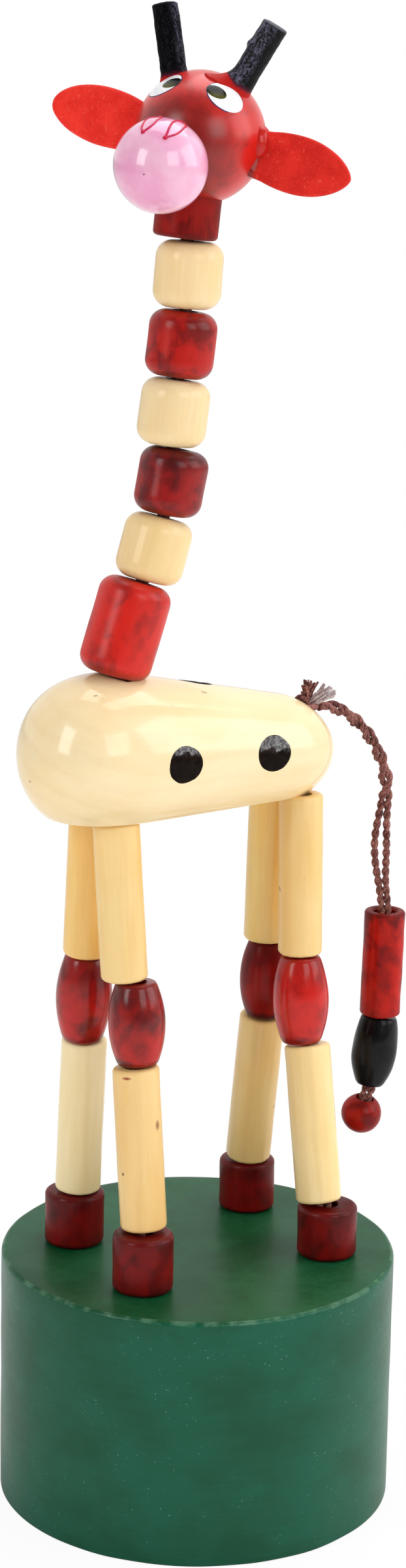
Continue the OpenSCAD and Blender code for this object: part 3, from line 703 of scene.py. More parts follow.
# Legs: hoof, dowel, barrel knee, dowel
for key, leg in legs.items():
    side = math.copysign(1, leg["hoof"][1])
    ankleUp, kneeUp, thighUp = leg["rises"]
    hoof = {"name": key + "Hoof", "nodes": [leg["node"] + "_hoof"], "slot": "red_stain", "body": "base",
            "looks": ["hoof"], "across": leg.get("hoofAcross", 8.3), "tall": 7.5 + ankleUp, "edge": 0.75,
            "bore": 2.8, "wave": (0.06, 0.3, len(key))}
    bm = turn(beadProfile(hoof["across"], hoof["tall"], hoof["edge"], hoof["bore"]))
    wobble(bm, *hoof["wave"])
    settle(hoof, bm, moved((*leg["hoof"], drum["tall"])))
    for part, node, low, high in (("shin", "_lower_leg", ankleUp, kneeUp),
                                  ("thigh", "_upper_leg", thighUp, leg.get("hipUp", 0))):
        dowel = {"name": key + part.capitalize(), "nodes": [leg["node"] + node], "slot": "natural_wood",
                 "body": leg["node"] + "_" + part, "looks": [leg[part + "Look"]],
                 "across": leg.get(part + "Across", 6.4), "tall": 22.3 + high - low, "edge": 0.6, "bore": 2.8,
                 "slip": leg.get(part + "Slip", 0), "tip": leg.get(part + "Tip", 0),
                 "middle": 11, "flats": 11, "flatDeep": 0.014, "wave": (0.05, 0.22, len(key + part) + side),
                 "drift": leg[part + "Look"] != "markedLeg"}
        bm = turn(beadProfile(dowel["across"], dowel["tall"], dowel["edge"], dowel["bore"]), 88)
        planed(bm, dowel["name"], dowel["flats"], dowel["flatDeep"])
        wobble(bm, *dowel["wave"])
        # some dowels hang a little askew on their cord, about their middle
        halfway = moved((dowel["slip"], 0, dowel["middle"] + (low + high) / 2))
        askew = halfway @ spun("Y", dowel["tip"]) @ moved((0, 0, -dowel["tall"] / 2))
        settle(dowel, bm, moved(leg[part]) @ spun("X", side * leg[part + "Lean"]) @ askew)
    knee = {"name": key + "Knee", "nodes": [leg["node"] + "_knee"], "slot": "red_stain",
            "body": leg["node"] + "_knee_bead", "looks": [leg.get("kneeLook", "knee")],
            "across": 7.7, "end": 5.4, "tall": 11.7 + thighUp - kneeUp, "bore": 2.8,
            "slip": leg.get("kneeSlip", 0), "wave": (0.06, 0.26, len(key) + 3)}
    bm = turn(barrelProfile(knee["across"], knee["end"], knee["tall"], knee["bore"]))
    wobble(bm, *knee["wave"])
    settle(knee, bm, moved(leg["knee"]) @ spun("X", side * kneeLean) @ moved((knee["slip"], 0, kneeUp)))
print("legs made")


# Torso: a rounded taper with a planed belly, a neck seat, cord channels and a tail hole
torso = {"name": "torso", "nodes": ["torso"], "slot": "natural_wood", "body": "body", "looks": ["torso"],
         "sharp": 30, "long": 46.7, "chest": 21.2, "rump": 15.4, "chestLong": 16, "rumpLong": 8.5,
         "tilt": 4.8, "nose": (-27.4, 0, 109.448), "belly": 100.448, "bellyEdge": 0.5, "full": 2.2,
         "wave": (0.06, 0.12, 9)}
rumpAt = torso["long"] - torso["rumpLong"]


def taper(s):
    fall = (torso["rump"] - torso["chest"]) * (s - torso["chestLong"]) / (rumpAt - torso["chestLong"])
    return (torso["chest"] + fall) / 2


torsoLine = []
for k in range(31):
    s = torso["chestLong"] * (1 - math.cos(math.radians(3 * k)))
    rounding = max(0.0, 1 - (1 - s / torso["chestLong"]) ** torso["full"]) ** (1 / torso["full"])
    torsoLine.append((taper(s) * rounding, s))
torsoLine += straight(torsoLine[-1], (taper(rumpAt), rumpAt), 20)
for k in range(31):
    t = math.radians(3 * k)
    s = rumpAt + torso["rumpLong"] * math.sin(t)
    torsoLine.append((max(0.0, taper(s) * math.cos(t)), s))
torsoLine[-1] = (0, torso["long"])
torsoPlace = moved(torso["nose"]) @ spun("Y", 90 + torso["tilt"])
bm = turn(torsoLine, 120, False)
wobble(bm, *torso["wave"])
toLocal = torsoPlace.inverted()
sawn(bm, toLocal @ Vector((0, 0, torso["belly"] * mm)), toLocal.to_3x3() @ Vector((0, 0, 1)),
     clear_inner=True)
bmesh.ops.recalc_face_normals(bm, faces=bm.faces[:])
bellyFace = max(bm.faces, key=lambda face: len(face.verts))
bmesh.ops.bevel(bm, geom=bellyFace.edges[:], offset=torso["bellyEdge"] * mm, segments=4, profile=0.5,
                affect="EDGES", clamp_overlap=True, material=-1)

neck = {
    "lean": [18, 16, 11, 8, 7, 4.5, 6.5],
    "foot": [(-14.699, 0, 119.679), (-9.941, 0, 131.431), (-7.145, 0, 140.166), (-6.705, 0, 149.289),
             (-5.655, 0, 158.219), (-4.559, 0, 167.205), (-4.84, 0, 176.304)],
    "top": [(-10.899, 0, 131.377), (-7.543, 0, 139.794), (-5.485, 0, 148.707), (-5.495, 0, 157.904),
            (-4.595, 0, 166.854), (-3.877, 0, 175.878)],
    "seatAcross": 6.8, "seatDeep": 0.75, "seatLong": 20.0,
}
tailHole = {"at": (15.4, 0, 111.6), "lean": 36, "across": 3.2, "deep": 5, "long": 10.0}
channel = {"across": 2.6, "mouth": 2.8}
# where the leg cords meet inside the torso, and how far each lies from its middle
cordMeets = {"front": (-14.699, 119.679), "rear": (13.637, 109.173), "apart": 0.62}


def meeting(leg):
    x, z = cordMeets[leg["node"].split("_")[0]]
    return Vector((x, math.copysign(cordMeets["apart"], leg["hip"][1]), z))


def rodBetween(first, last, across):
    run = Vector(last) - Vector(first)
    return moved(first) @ run.to_track_quat("Z", "Y").to_matrix().to_4x4(), across, run.length


neckSeat = moved(neck["foot"][0]) @ spun("Y", neck["lean"][0]) @ moved((0, 0, -neck["seatDeep"]))
tailSeat = moved(tailHole["at"]) @ spun("Y", tailHole["lean"]) @ moved((0, 0, -tailHole["deep"]))
drills = [(neckSeat, neck["seatAcross"], neck["seatLong"]), (tailSeat, tailHole["across"], tailHole["long"])]
for leg in legs.values():
    start, end = Vector(leg["hip"]), meeting(leg)
    mouth = start - (end - start).normalized() * channel["mouth"]
    drills.append(rodBetween(mouth, end, channel["across"]))
block = bpy.data.objects.new("torsoBlock", asMesh(bm, "torsoBlock"))
scene.collection.objects.link(block)
bits = []
for place, across, deep in drills:
    bitMesh = asMesh(turn([(0, 0), (across / 2, 0), (across / 2, deep), (0, deep)], 40, False), "bit")
    bitMesh.transform(toLocal @ place)
    bits.append(bpy.data.objects.new("bit", bitMesh))
    scene.collection.objects.link(bits[-1])
    cut = block.modifiers.new("drill", "BOOLEAN")
    cut.operation = "DIFFERENCE"
    cut.solver = "EXACT"
    cut.object = bits[-1]
bpy.context.view_layer.update()
cutMesh = bpy.data.meshes.new_from_object(block.evaluated_get(bpy.context.evaluated_depsgraph_get()))
for used in [block] + bits:
    bpy.data.objects.remove(used)
torsoPiece = settle(torso, fromMesh(cutMesh), torsoPlace)
torsoTree = BVHTree.FromObject(torsoPiece, bpy.context.evaluated_depsgraph_get())


# Painted patches: a disc laid on a surface, a little proud in the middle and sunk at its edge
def disc(rings, sides):
    return turn([(k / rings, 0) for k in range(rings + 1)], sides, False, 1)


spots = [
    {"name": "spotFrontLeft", "at": (-9.08, -10.3, 108.5), "half": 2.6, "seed": 1},
    {"name": "spotRearLeft", "at": (5.71, -8.3, 108.05), "half": 2.6, "seed": 2},
    {"name": "spotBack", "at": (-1.2, 1.9, 116.7), "half": 2.5, "seed": 3},
    {"name": "spotFrontRight", "at": (-9.4, 10.2, 108.3), "half": 2.6, "seed": 4},
    {"name": "spotRearRight", "at": (5.4, 8.3, 108.2), "half": 2.6, "seed": 5},
]
for spot in spots:
    spot.update({"nodes": ["torso"], "slot": "black_stain", "body": "body", "looks": ["spot"], "long": 1.13,
                 "tall": 1.06, "ragged": 0.025, "ripple": 0.05, "proud": 0.11, "sunk": 0.03})
    centre, normal = torsoTree.find_nearest(Vector(spot["at"]) * mm)[:2]
    across = Vector((1, 0, 0)).cross(normal).normalized()
    ahead = normal.cross(across)
    bm = disc(8, 56)
    for v in bm.verts:
        share = min(1.0, v.co.length)
        edge = noise.noise(v.co.normalized() * 1.4 + Vector((spot["seed"], 0, 0)))
        half = spot["half"] * (1 + spot["ragged"] * edge if share > 0 else 1)
        reach = centre + (ahead * v.co.x * spot["long"] + across * v.co.y * spot["tall"]) * (half * mm)
        there, outward = torsoTree.find_nearest(reach)[:2]
        ripple = spot["ripple"] * noise.noise(reach / mm * 0.9 + Vector((0, spot["seed"], 0)))
        v.co = there + outward * ((spot["proud"] + ripple) * (1 - share ** 6) - spot["sunk"]) * mm
    settle(spot, bm, Matrix())
print("torso and spots made")


# Neck beads and the collar
beads = [
    {"looks": ["rootBead"], "across": 9.8, "tall": 12.9, "sunk": 0.6},
    {"looks": ["cream"], "across": 9.1},
    {"looks": ["darkBead"], "across": 9.1},
    {"looks": ["cream"], "across": 9.1},
    {"looks": ["bead"], "across": 9.0},
    {"looks": ["cream"], "across": 8.9},
    {"looks": ["collar"], "across": 8.5, "tall": 6.2, "edge": 0.6,
     "name": "neckCollar", "nodes": ["neck_collar"], "body": "head"},
]
for k, own in enumerate(beads):
    bead = {"name": "neckBead%d" % (k + 1), "nodes": ["neck_bead_%d" % (k + 1)], "body": "neck_%d" % (k + 1),
            "slot": "natural_wood" if own["looks"] == ["cream"] else "red_stain", "tall": 8.7, "edge": 2.1,
            "bore": 3.2, "sunk": 0, "wave": (0.07, 0.2, 11 + k)}
    bead.update(own)
    bm = turn(beadProfile(bead["across"], bead["tall"], bead["edge"], bead["bore"]), 80)
    wobble(bm, *bead["wave"])
    settle(bead, bm, moved(neck["foot"][k]) @ spun("Y", neck["lean"][k]) @ moved((0, 0, -bead["sunk"])))
print("neck made")


# Head
head = {"name": "headBall", "nodes": ["head_ball"], "slot": "red_stain", "body": "head", "looks": ["head"],
        "at": (-2.872, 0, 189.164), "turn": 38.6, "nod": 9, "tilt": 8, "across": 17.1, "muzzleOut": 12,
        "muzzleDip": 23, "seat": 7.52, "lap": 0.15, "wave": (0.07, 0.12, 21)}
headFrame = moved(head["at"]) @ spun("Z", head["turn"]) @ spun("Y", head["nod"]) @ spun("X", head["tilt"])
muzzleFrame = headFrame @ spun("Y", -90 - head["muzzleDip"])
bm = ball(bmesh.new(), head["across"] / 2, 128)
wobble(bm, *head["wave"])
sawn(bm, (0, 0, head["seat"] * mm + head["lap"] * mm), (0, 0, 1), clear_outer=True)
settle(head, bm, muzzleFrame)

muzzle = {"name": "muzzleBall", "nodes": ["muzzle"], "slot": "pink_paint", "body": "head", "looks": ["pink"],
          "across": 12.1, "wave": (0.05, 0.16, 23)}
bm = ball(bmesh.new(), muzzle["across"] / 2, 112, moved((0, 0, head["muzzleOut"])))
wobble(bm, *muzzle["wave"])
sawn(bm, (0, 0, head["seat"] * mm - head["lap"] * mm), (0, 0, 1), clear_inner=True)
settle(muzzle, bm, muzzleFrame)

# Painted eyes: a dark line, the white and the pupil, one over the other
eyeLayers = [
    {"part": "Line", "look": "eyeLine", "toward": (-0.565, 0.51, 0.65),
     "long": 2.78, "wide": 2.27, "proud": 0.045},
    {"part": "White", "look": "eyeWhite", "toward": (-0.565, 0.51, 0.65),
     "long": 2.64, "wide": 2.13, "proud": 0.085},
    {"part": "Pupil", "look": "pupil", "toward": (-0.628, 0.372, 0.685),
     "long": 1.42, "wide": 1.04, "proud": 0.125},
]
radius = head["across"] / 2
for side, key in ((-1, "leftEye"), (1, "rightEye")):
    for layer in eyeLayers:
        eye = {"name": key + layer["part"], "nodes": ["head_ball"], "slot": "red_stain", "body": "head",
               "looks": [layer["look"]]}
        x, y, z = layer["toward"]
        out = Vector((x, y * side, z)).normalized()
        sideways = (Vector((0, 1, 0)) - out * out.y).normalized()
        lift = out.cross(sideways)
        bm = disc(8, 64)
        for v in bm.verts:
            share = min(1.0, v.co.length)
            reach = out * radius + sideways * v.co.x * layer["long"] + lift * v.co.y * layer["wide"]
            v.co = reach.normalized() * (radius + layer["proud"] * (1 - 0.4 * share ** 8)) * mm
        settle(eye, bm, headFrame)

# Nostrils: thin drops drawn on the muzzle
nostrils = [
    {"name": "leftNostril",
     "line": [(-0.77, -0.29, 0.57), (-0.64, -0.27, 0.72), (-0.51, -0.24, 0.825), (-0.34, -0.215, 0.917),
              (-0.11, -0.22, 0.969), (0.05, -0.28, 0.955), (-0.1, -0.42, 0.9), (-0.26, -0.45, 0.855),
              (-0.44, -0.464, 0.767), (-0.57, -0.44, 0.693), (-0.67, -0.38, 0.637), (-0.74, -0.32, 0.595)]},
    {"name": "rightNostril",
     "line": [(-0.775, 0.217, 0.593), (-0.69, 0.3, 0.66), (-0.615, 0.327, 0.717), (-0.437, 0.369, 0.82),
              (-0.236, 0.375, 0.897), (-0.1, 0.3, 0.95), (-0.13, 0.17, 0.977), (-0.275, 0.088, 0.957),
              (-0.422, 0.093, 0.902), (-0.595, 0.094, 0.799), (-0.7, 0.139, 0.7), (-0.753, 0.19, 0.63)]},
]
muzzleMiddle = headFrame.inverted() @ muzzleFrame @ Vector((0, 0, head["muzzleOut"] * mm))
for nostril in nostrils:
    nostril.update({"nodes": ["muzzle"], "slot": "pink_paint", "body": "head", "looks": ["nostril"],
                    "step": 0.15, "wire": 0.16, "drop": 0.3})
    line = [Vector(p).normalized() * (muzzle["across"] / 2) + muzzleMiddle / mm for p in nostril["line"]]
    bm = sweep("drop", [flowing(line + [line[0]], nostril["step"])], nostril["wire"], 2)
    settle(nostril, ball(bm, nostril["drop"], 20, moved(line[0])), headFrame)
speck = {"name": "muzzleSpeck", "nodes": ["muzzle"], "slot": "pink_paint", "body": "head", "looks": ["speck"],
         "radius": 0.1}
speckOut = camRight * -0.335 - camUp * 0.33 - camAhead * 0.88
speckAt = muzzleFrame @ Vector((0, 0, head["muzzleOut"] * mm))
speckAt += speckOut.normalized() * muzzle["across"] / 2 * mm
settle(speck, ball(bmesh.new(), speck["radius"], 16), Matrix.Translation(speckAt))
print("head, muzzle, eyes and nostrils made")


# Horns: sticks cut square, one with a nub on its side and a thick fillet of paint towards the brow
horns = {
    "left": {"side": -1, "looks": ["hornFlared"], "flare": 2.9, "flareTall": 3.4, "nub": 0.3},
    "right": {"side": 1, "looks": ["hornPlain"], "flare": 0.3, "flareTall": 1.4, "nub": 0.0},
}
for key, horn in horns.items():
    horn.update({"name": key + "Horn", "nodes": [key + "_horn"], "slot": "black_stain", "body": "head",
                 "sharp": 60, "drift": False, "across": 3.4, "tall": 9.2, "peg": 3, "edge": 0.2, "nubAt": 5.6,
                 "seat": (-1.3, 4.5, 7.1), "splay": 21, "slide": -0.17,
                 "wave": (0.07, 0.5, 31 + horn["side"]), "bark": (0.04, 1.6, 35 + horn["side"])})
    side, r, edge = horn["side"], horn["across"] / 2, horn["edge"]
    line = [(0, -horn["peg"]), (r, -horn["peg"])]
    line += straight(line[-1], (r, horn["tall"] - edge), 60)
    line += arc(r - edge, horn["tall"] - edge, edge, 0, 90, 4)
    line += straight(line[-1], (0, horn["tall"]), 5) + [(0, horn["tall"])]
    bm = turn(line, 56, False)
    wobble(bm, *horn["wave"])
    wobble(bm, *horn["bark"])
    slid = Matrix.Translation(camRight * horn["slide"] * mm) @ headFrame
    x, y, z = horn["seat"]
    place = slid @ moved((x, y * side, z)) @ spun("X", -side * horn["splay"])
    brow = place.to_3x3().inverted() @ -camRight
    browTurn = math.atan2(brow.y, brow.x)
    for v in bm.verts:
        z = v.co.z / mm
        near = max(0.0, math.cos(math.atan2(v.co.y, v.co.x) - browTurn))
        fade = max(0.0, min(1.0, 1 - (z + 0.6) / horn["flareTall"])) ** 2.8
        run = horn["flare"] * fade * (0.06 + 0.94 * near ** 3) if z > -1.4 else 0
        run += horn["nub"] * math.exp(-((z - horn["nubAt"]) / 0.5) ** 2) * near ** 6
        grow = 1 + run / r
        v.co.x *= grow
        v.co.y *= grow
    settle(horn, bm, place)


# Ears: oval leaves of thick leather with a rounded rim, each with its root in the head
def earRing(half, rim):
    flatHalf = max(0.0, half - rim)
    ring = []
    for sign in (1, -1):
        for k in range(13):
            t = math.radians(15 * k - 90)
            ring.append((sign * (flatHalf + rim * math.cos(t)), sign * rim * math.sin(t)))
        for k in range(1, 12):
            ring.append((sign * flatHalf * (1 - k / 6), sign * rim))
    return ring


ears = {
    "left": {"side": -1, "looks": ["gluedEar"], "long": 13.2, "half": 3.75, "tip": 0.6, "glue": 0.9,
             "droop": 1, "nod": -4, "lift": -0.2},
    "right": {"side": 1, "looks": ["ear"], "long": 13.4, "half": 3.85, "tip": 0.5, "glue": 0.25,
              "droop": -8, "nod": 4, "lift": 0.1},
}
for key, ear in ears.items():
    ear.update({"name": key + "Ear", "nodes": [key + "_ear"], "slot": "red_leather", "body": "head",
                "sharp": 70, "drift": False, "thick": 1.1, "root": -2.2, "widest": 5.8, "rootLong": 8.4,
                "glueLong": 1.9, "seat": (0.5, 8, -0.4)})
    side = ear["side"]
    x, y, z = ear["seat"]
    root = headFrame @ moved((x, y * side, z + ear["lift"])) @ spun("Z", 90 * side)
    place = root @ spun("X", ear["droop"] + 90) @ spun("Z", ear["nod"])
    bm = bmesh.new()
    bmesh.ops.create_grid(bm, x_segments=60, y_segments=48, size=1)
    for v in bm.verts:
        part, around = (v.co.x + 1) / 2, round((v.co.y + 1) * 24) % 48
        x = ear["root"] + (ear["long"] - ear["root"]) * math.sin(part * math.pi / 2)
        outer = x > ear["widest"]
        q = min(1.0, abs(x - ear["widest"]) / (ear["long"] - ear["widest"] if outer else ear["rootLong"]))
        half = ear["half"] * (1 - q * q) ** (ear["tip"] if outer else 0.5)
        run = ear["glue"] * max(0.0, 1 - max(0.0, x) / ear["glueLong"]) ** 2
        closing = 1 - min(1.0, (ear["long"] - x) / (ear["thick"] / 2))
        rim = min(half, ear["thick"] / 2 * math.sqrt(max(0.0, 1 - closing ** 2))) + run
        y, z = earRing(half + run / 2, rim)[around]
        wide = y / half if half > 0 else 0
        cup = 0.5 * wide * wide * (1 - part) + 0.35 * math.sin(part * math.pi) - 0.3
        v.co = Vector((x, y, z + cup + 0.1 * noise.noise(Vector((x * 0.5, y * 0.3, side))))) * mm
    bmesh.ops.remove_doubles(bm, verts=bm.verts[:], dist=1e-6)
    fillHoles(bm)
    bmesh.ops.recalc_face_normals(bm, faces=bm.faces[:])
    settle(ear, bm, place)
    if side < 0:
        # the glue round its root has set in a smooth lump
        lump = {"name": "earGlue", "nodes": ["left_ear"], "slot": "red_leather", "body": "head",
                "looks": ["glue"], "half": (1.8, 2.3, 1.5), "skew": 0.3, "at": (-0.3, 1.6, 0.3),
                "wave": (0.15, 0.5, 5)}
        (long, wide, deep), (overX, overY, overZ) = lump["half"], lump["at"]
        bm = ball(bmesh.new(), 1, 48)
        for v in bm.verts:
            x, y, z = v.co
            v.co = Vector((x * long - y * lump["skew"] + overX * mm, y * wide + overY * mm,
                           z * deep + overZ * mm))
        wobble(bm, *lump["wave"])
        settle(lump, bm, place)
print("horns and ears made")


# Tail: two twisted strands from the tail hole to three beads
tail = {"name": "tailCord", "nodes": ["tail_cord"], "slot": "brown_cord", "body": "tail", "looks": ["cord"],
        "sharp": 80, "pair": 0.44, "ply": 0.25, "wire": 0.31, "pitch": 6.4, "lay": 2.8,
        "step": 0.25, "gapFrom": 97.5, "gapTo": 83, "gap": 0.4, "bulge": 0.3, "bulgeUp": 1.6,
        "bulgeLong": 1.1,
        "route": [(17.6, 0, 111.5), (18.7, 0, 111.5), (19.9, 0, 111.2), (21.2, 0, 110.6), (22.6, 0, 109.7),
                  (24.2, 0, 108.4), (25.7, 0, 106.8), (26.9, 0, 105), (28, 0, 103), (28.7, 0, 101),
                  (29, 0, 99), (28.9, 0, 97), (28.6, 0, 94.5), (28.4, 0, 92), (28.4, 0, 90),
                  (28.5, 0, 88), (28.7, 0, 86), (29, 0, 84), (29.3, 0, 82), (29.5, 0, 80),
                  (29.4, 0, 73), (29.2, 0, 65), (28.5, 0, 60), (27.8, 0, 55), (27.2, -0.3, 53.9),
                  (26.8, -0.4, 53), (26.7, -0.2, 52), (26.6, 0, 51)]}
line = flowing(tail["route"], tail["step"])
travelled = [0.0]
for a, b in zip(line, line[1:]):
    travelled.append(travelled[-1] + (b - a).length)
splitAt = next(s for s, p in zip(travelled, line) if p.z < tail["gapFrom"])
twist = 2 * math.pi / tail["pitch"]
phase = -splitAt * twist
strands = [[] for k in range(4)]
for k, point in enumerate(line):
    ahead = (line[min(k + 1, len(line) - 1)] - line[max(k - 1, 0)]).normalized()
    across = (camRight - ahead * camRight.dot(ahead)).normalized()
    over = ahead.cross(across)
    s = travelled[k]
    angle = min(s, splitAt) * twist + phase
    opened = max(0.0, min(1.0, (tail["gapFrom"] - point.z) / (tail["gapFrom"] - tail["gapTo"])))
    spread = tail["pair"] + tail["gap"] * math.sin(opened * math.pi) ** 2
    # where a loose half knot sits above the place where they part, the strands bulge apart
    fromKnot = (point.z - tail["gapFrom"] - tail["bulgeUp"]) / tail["bulgeLong"]
    spread += tail["bulge"] * math.exp(-fromKnot ** 2)
    lay = s * 2 * math.pi / tail["lay"]
    turned = across * math.cos(lay) + over * math.sin(lay)
    for cord, sign in enumerate((1, -1)):
        middle = point + (across * math.cos(angle) + over * math.sin(angle)) * spread * sign
        for ply, half in enumerate((1, -1)):
            strands[cord * 2 + ply].append(middle + turned * tail["ply"] * half)
tailPiece = settle(tail, sweep("strands", strands, tail["wire"], 2), Matrix())

tailTube = {"name": "tailTubeBead", "nodes": ["tail_tube_bead"], "slot": "red_stain", "body": "tail",
            "looks": ["tube"], "foot": (29.2, 0, 65.5), "top": (29.5, 0, 80.8), "across": 5.7, "edge": 0.45,
            "bore": 3.4, "lip": 0.3, "wave": (0.1, 0.3, 41)}
place, across, tall = rodBetween(tailTube["foot"], tailTube["top"], tailTube["across"])
bm = turn(beadProfile(across, tall, tailTube["edge"], tailTube["bore"], tailTube["lip"]), 64)
wobble(bm, *tailTube["wave"])
tubePiece = settle(tailTube, bm, place)

tailBarrel = {"name": "tailBarrelBead", "nodes": ["tail_barrel_bead"], "slot": "black_stain", "body": "tail",
              "looks": ["barrel"], "foot": (27.8, 0, 55.2), "top": (29.15, 0, 65.2), "across": 6.4, "end": 5,
              "endFoot": 3.7, "bore": 2.4, "lip": 0.2, "wave": (0.12, 0.35, 43)}
place, across, tall = rodBetween(tailBarrel["foot"], tailBarrel["top"], tailBarrel["across"])
bm = turn(barrelProfile(across, tailBarrel["end"], tall, tailBarrel["bore"], tailBarrel["lip"],
                        tailBarrel["endFoot"]), 64)
wobble(bm, *tailBarrel["wave"])
barrelPiece = settle(tailBarrel, bm, place)

tailBall = {"name": "tailBallBead", "nodes": ["tail_ball_bead"], "slot": "red_stain", "body": "tail",
            "looks": ["ball"], "at": (26.6, 0, 51), "boreTo": (26.9, -0.6, 54), "across": 5.7, "bore": 2.4,
            "lip": 0.15, "boreLong": 0.82, "wave": (0.05, 0.4, 47)}
r, hole = tailBall["across"] / 2, tailBall["bore"] / 2
mouth = math.degrees(math.acos((hole + tailBall["lip"]) / r))
boreEnd = r * tailBall["boreLong"]
place = rodBetween(tailBall["at"], tailBall["boreTo"], 1)[0]
bm = turn([(hole, -boreEnd)] + arc(0, 0, r, -mouth, mouth, 32) + [(hole, boreEnd)], 64)
wobble(bm, *tailBall["wave"])
ballPiece = settle(tailBall, bm, place)

[tuple(p * mm) for p in line[::2] + [line[-1]]]

# Frayed cord ends that stand out of the tail hole
tuft = {"name": "tailTuft", "nodes": ["tail_tuft"], "slot": "brown_cord", "body": "body", "looks": ["cord"],
        "sharp": 80, "stubs": [(-110, 34, 3.4, 0), (0, 30, 3.5, 0), (110, 32, 4.3, 1)], "hairs": 24,
        "wire": 0.15, "knotWire": 0.48, "spread": 0.65, "lean": 0.32, "uneven": (0.75, 1.12), "sunk": 0.2}
draw = random.Random(5)
brushes = [[], []]
for around, splay, long, pale in tuft["stubs"]:
    stub = spun("Z", around + 180) @ spun("Y", splay)
    for k in range(tuft["hairs"]):
        angle, off = draw.uniform(0, 2 * math.pi), tuft["spread"] * math.sqrt(draw.random())
        lean, turned = draw.uniform(0, tuft["lean"]), draw.uniform(0, 2 * math.pi)
        reach = long * draw.uniform(*tuft["uneven"])
        hair = []
        for j in range(6):
            t = j / 5
            p = Vector((off * math.cos(angle) + lean * reach * t * t * math.cos(turned),
                        off * math.sin(angle) + lean * reach * t * t * math.sin(turned),
                        reach * t - tuft["sunk"]))
            hair.append(stub @ p + Vector((0, 0, tuft["sunk"])))
        brushes[pale].append(hair)
tailHolePlace = moved(tailHole["at"]) @ spun("Y", tailHole["lean"])
paleTuft = dict(tuft, name="tailTuftPale", looks=["paleCord"])
settle(paleTuft, sweep("paleHairs", brushes[1], tuft["wire"], 1), tailHolePlace)
bm = sweep("hairs", brushes[0], tuft["wire"], 1)
knotMesh = asMesh(sweep("wrap", [knotLoop(60, 0.5, 0.5, 0.35)], tuft["knotWire"], 2, True), "wrap")
bm.from_mesh(knotMesh)
bpy.data.meshes.remove(knotMesh)
settle(tuft, bm, tailHolePlace)
print("tail made")


# Cords inside the puppet, in short lengths that bend at each joint
innerCord = {"slot": "brown_cord", "looks": ["cord"], "sharp": 80, "radius": 0.55, "step": 0.5,
             "knotTop": 4.4, "inDrum": 16, "drumLap": 28.4, "inHoof": 38, "bendFrom": 41.6, "hoofEnd": 41.9,
             "keep": 0.67, "overHoof": 1.0, "bend": 1.3, "bendNeck": (1.2, 1.4), "inHead": 12,
             "dowelStops": (-1.2, 0, 1.3, 11, 20.7, 22), "kneeStops": (0, 1.2, 5.9, 10.6, 11.8)}


def cordPiece(name, node, points):
    cord = dict(innerCord, name=name, nodes=[node])
    return cord, sweep(name, [flowing(points, innerCord["step"])], innerCord["radius"], 2)


def upAlong(foot, lean, side, far):
    angle = math.radians(lean)
    return Vector(foot) + far * Vector((0, -side * math.sin(angle), math.cos(angle)))


def crossing(name, node, points, bodies):
    cord, bm = cordPiece(name, node, points)
    made = settle(cord, bm, Matrix())
    if len(bodies) == 1:
        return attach(made, bodies[0])
    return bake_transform(made)


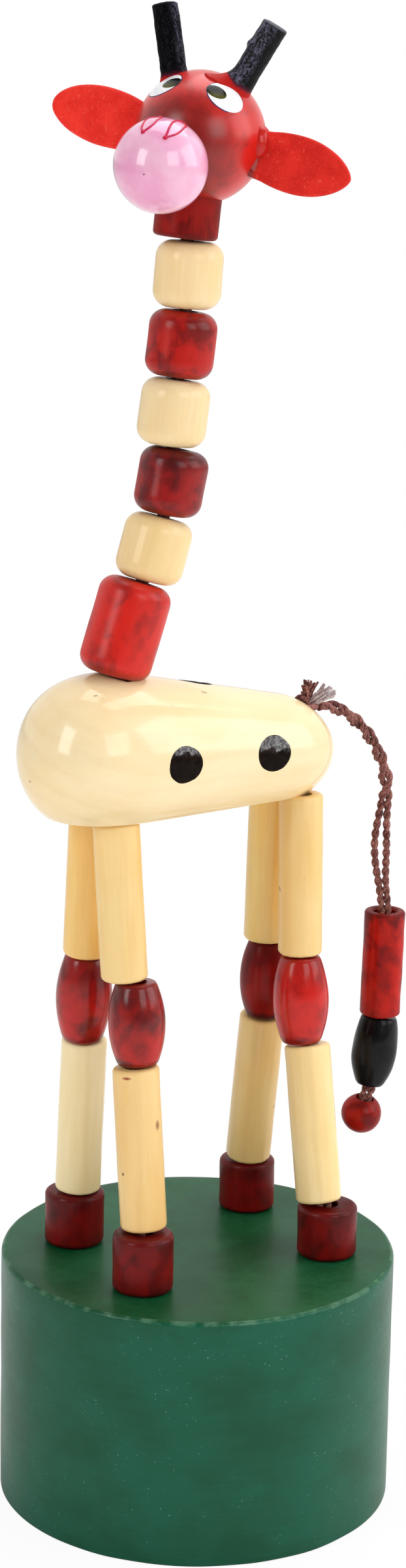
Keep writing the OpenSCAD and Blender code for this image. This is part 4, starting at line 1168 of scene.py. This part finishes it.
for key, leg in legs.items():
    node, side = leg["node"] + "_cord", math.copysign(1, leg["hoof"][1])
    shinBody, kneeBody, thighBody = (leg["node"] + part for part in ("_shin", "_knee_bead", "_thigh"))
    hx, hy = leg["hoof"]
    shin = [upAlong(leg["shin"], leg["shinLean"], side, far) for far in innerCord["dowelStops"]]
    knee = [upAlong(leg["knee"], kneeLean, side, far) for far in innerCord["kneeStops"]]
    thigh = [upAlong(leg["thigh"], leg["thighLean"], side, far) for far in innerCord["dowelStops"][1:]]
    inDrum = [(hx, hy, z) for z in (innerCord["knotTop"], innerCord["inDrum"], drum["cavityTop"])]
    cord, bm = cordPiece(key + "CordDrum", node, inDrum)
    cord["body"] = "base"
    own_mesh(settle(cord, bm, Matrix()))
    inHoof = [(hx, hy, innerCord["drumLap"]), (hx, hy, innerCord["inHoof"])]
    if key == "frontLeft":
        seat = (shin[1] + Vector((hx, hy, hoofTop))) / 2
        crossing(key + "CordAnkle", node, inHoof + [(hx, hy, innerCord["bendFrom"]), seat, shin[2], shin[3]],
                 ["base", shinBody])
    else:
        crossing(key + "CordHoof", node, inHoof + [(hx, hy, hoofTop + innerCord["overHoof"])], ["base"])
        crossing(key + "CordAnkle", node, [shin[0], shin[2], shin[3]], [shinBody])
    crossing(key + "CordKneeLow", node, [shin[3], shin[4], (shin[5] + knee[0]) / 2, knee[1], knee[2]],
             [shinBody, kneeBody])
    crossing(key + "CordKneeHigh", node, [knee[2], knee[3], (knee[4] + thigh[0]) / 2, thigh[1], thigh[2]],
             [kneeBody, thighBody])
    hip, end = Vector(leg["hip"]), meeting(leg)
    inside = hip + (end - hip).normalized() * innerCord["bend"]
    middle = (hip + end) / 2
    crossing(key + "CordHip", node, [thigh[2], thigh[3], (thigh[4] + hip) / 2, inside, middle],
             [thighBody, "body"])
    if not key.startswith("front"):
        crossing(key + "CordTail", node, [middle, end], ["body"])
        continue
    shift = Vector((0, end.y, 0))
    ups = [Vector((math.sin(math.radians(a)), 0, math.cos(math.radians(a)))) for a in neck["lean"]]
    feet = [Vector(p) + shift for p in neck["foot"]]
    tops = [Vector(p) + shift for p in neck["top"]]
    mids = [(a + b) / 2 for a, b in zip(feet, tops)]
    under, above = innerCord["bendNeck"]
    low, high = end - (end - hip).normalized() * under, feet[0] + ups[0] * above
    crossing(key + "CordNeck1", node, [middle, low, feet[0], high, mids[0]], ["body", "neck_1"])
    for k in range(6):
        upper = "neck_%d" % (k + 2) if k < 5 else "head"
        far = mids[k + 1] if k < 5 else feet[6] + ups[6] * innerCord["inHead"]
        low, high = tops[k] - ups[k] * innerCord["bend"], feet[k + 1] + ups[k + 1] * innerCord["bend"]
        crossing(key + "CordNeck%d" % (k + 2), node, [mids[k], low, (tops[k] + feet[k + 1]) / 2, high, far],
                 ["neck_%d" % (k + 1), upper])
print("cords made")
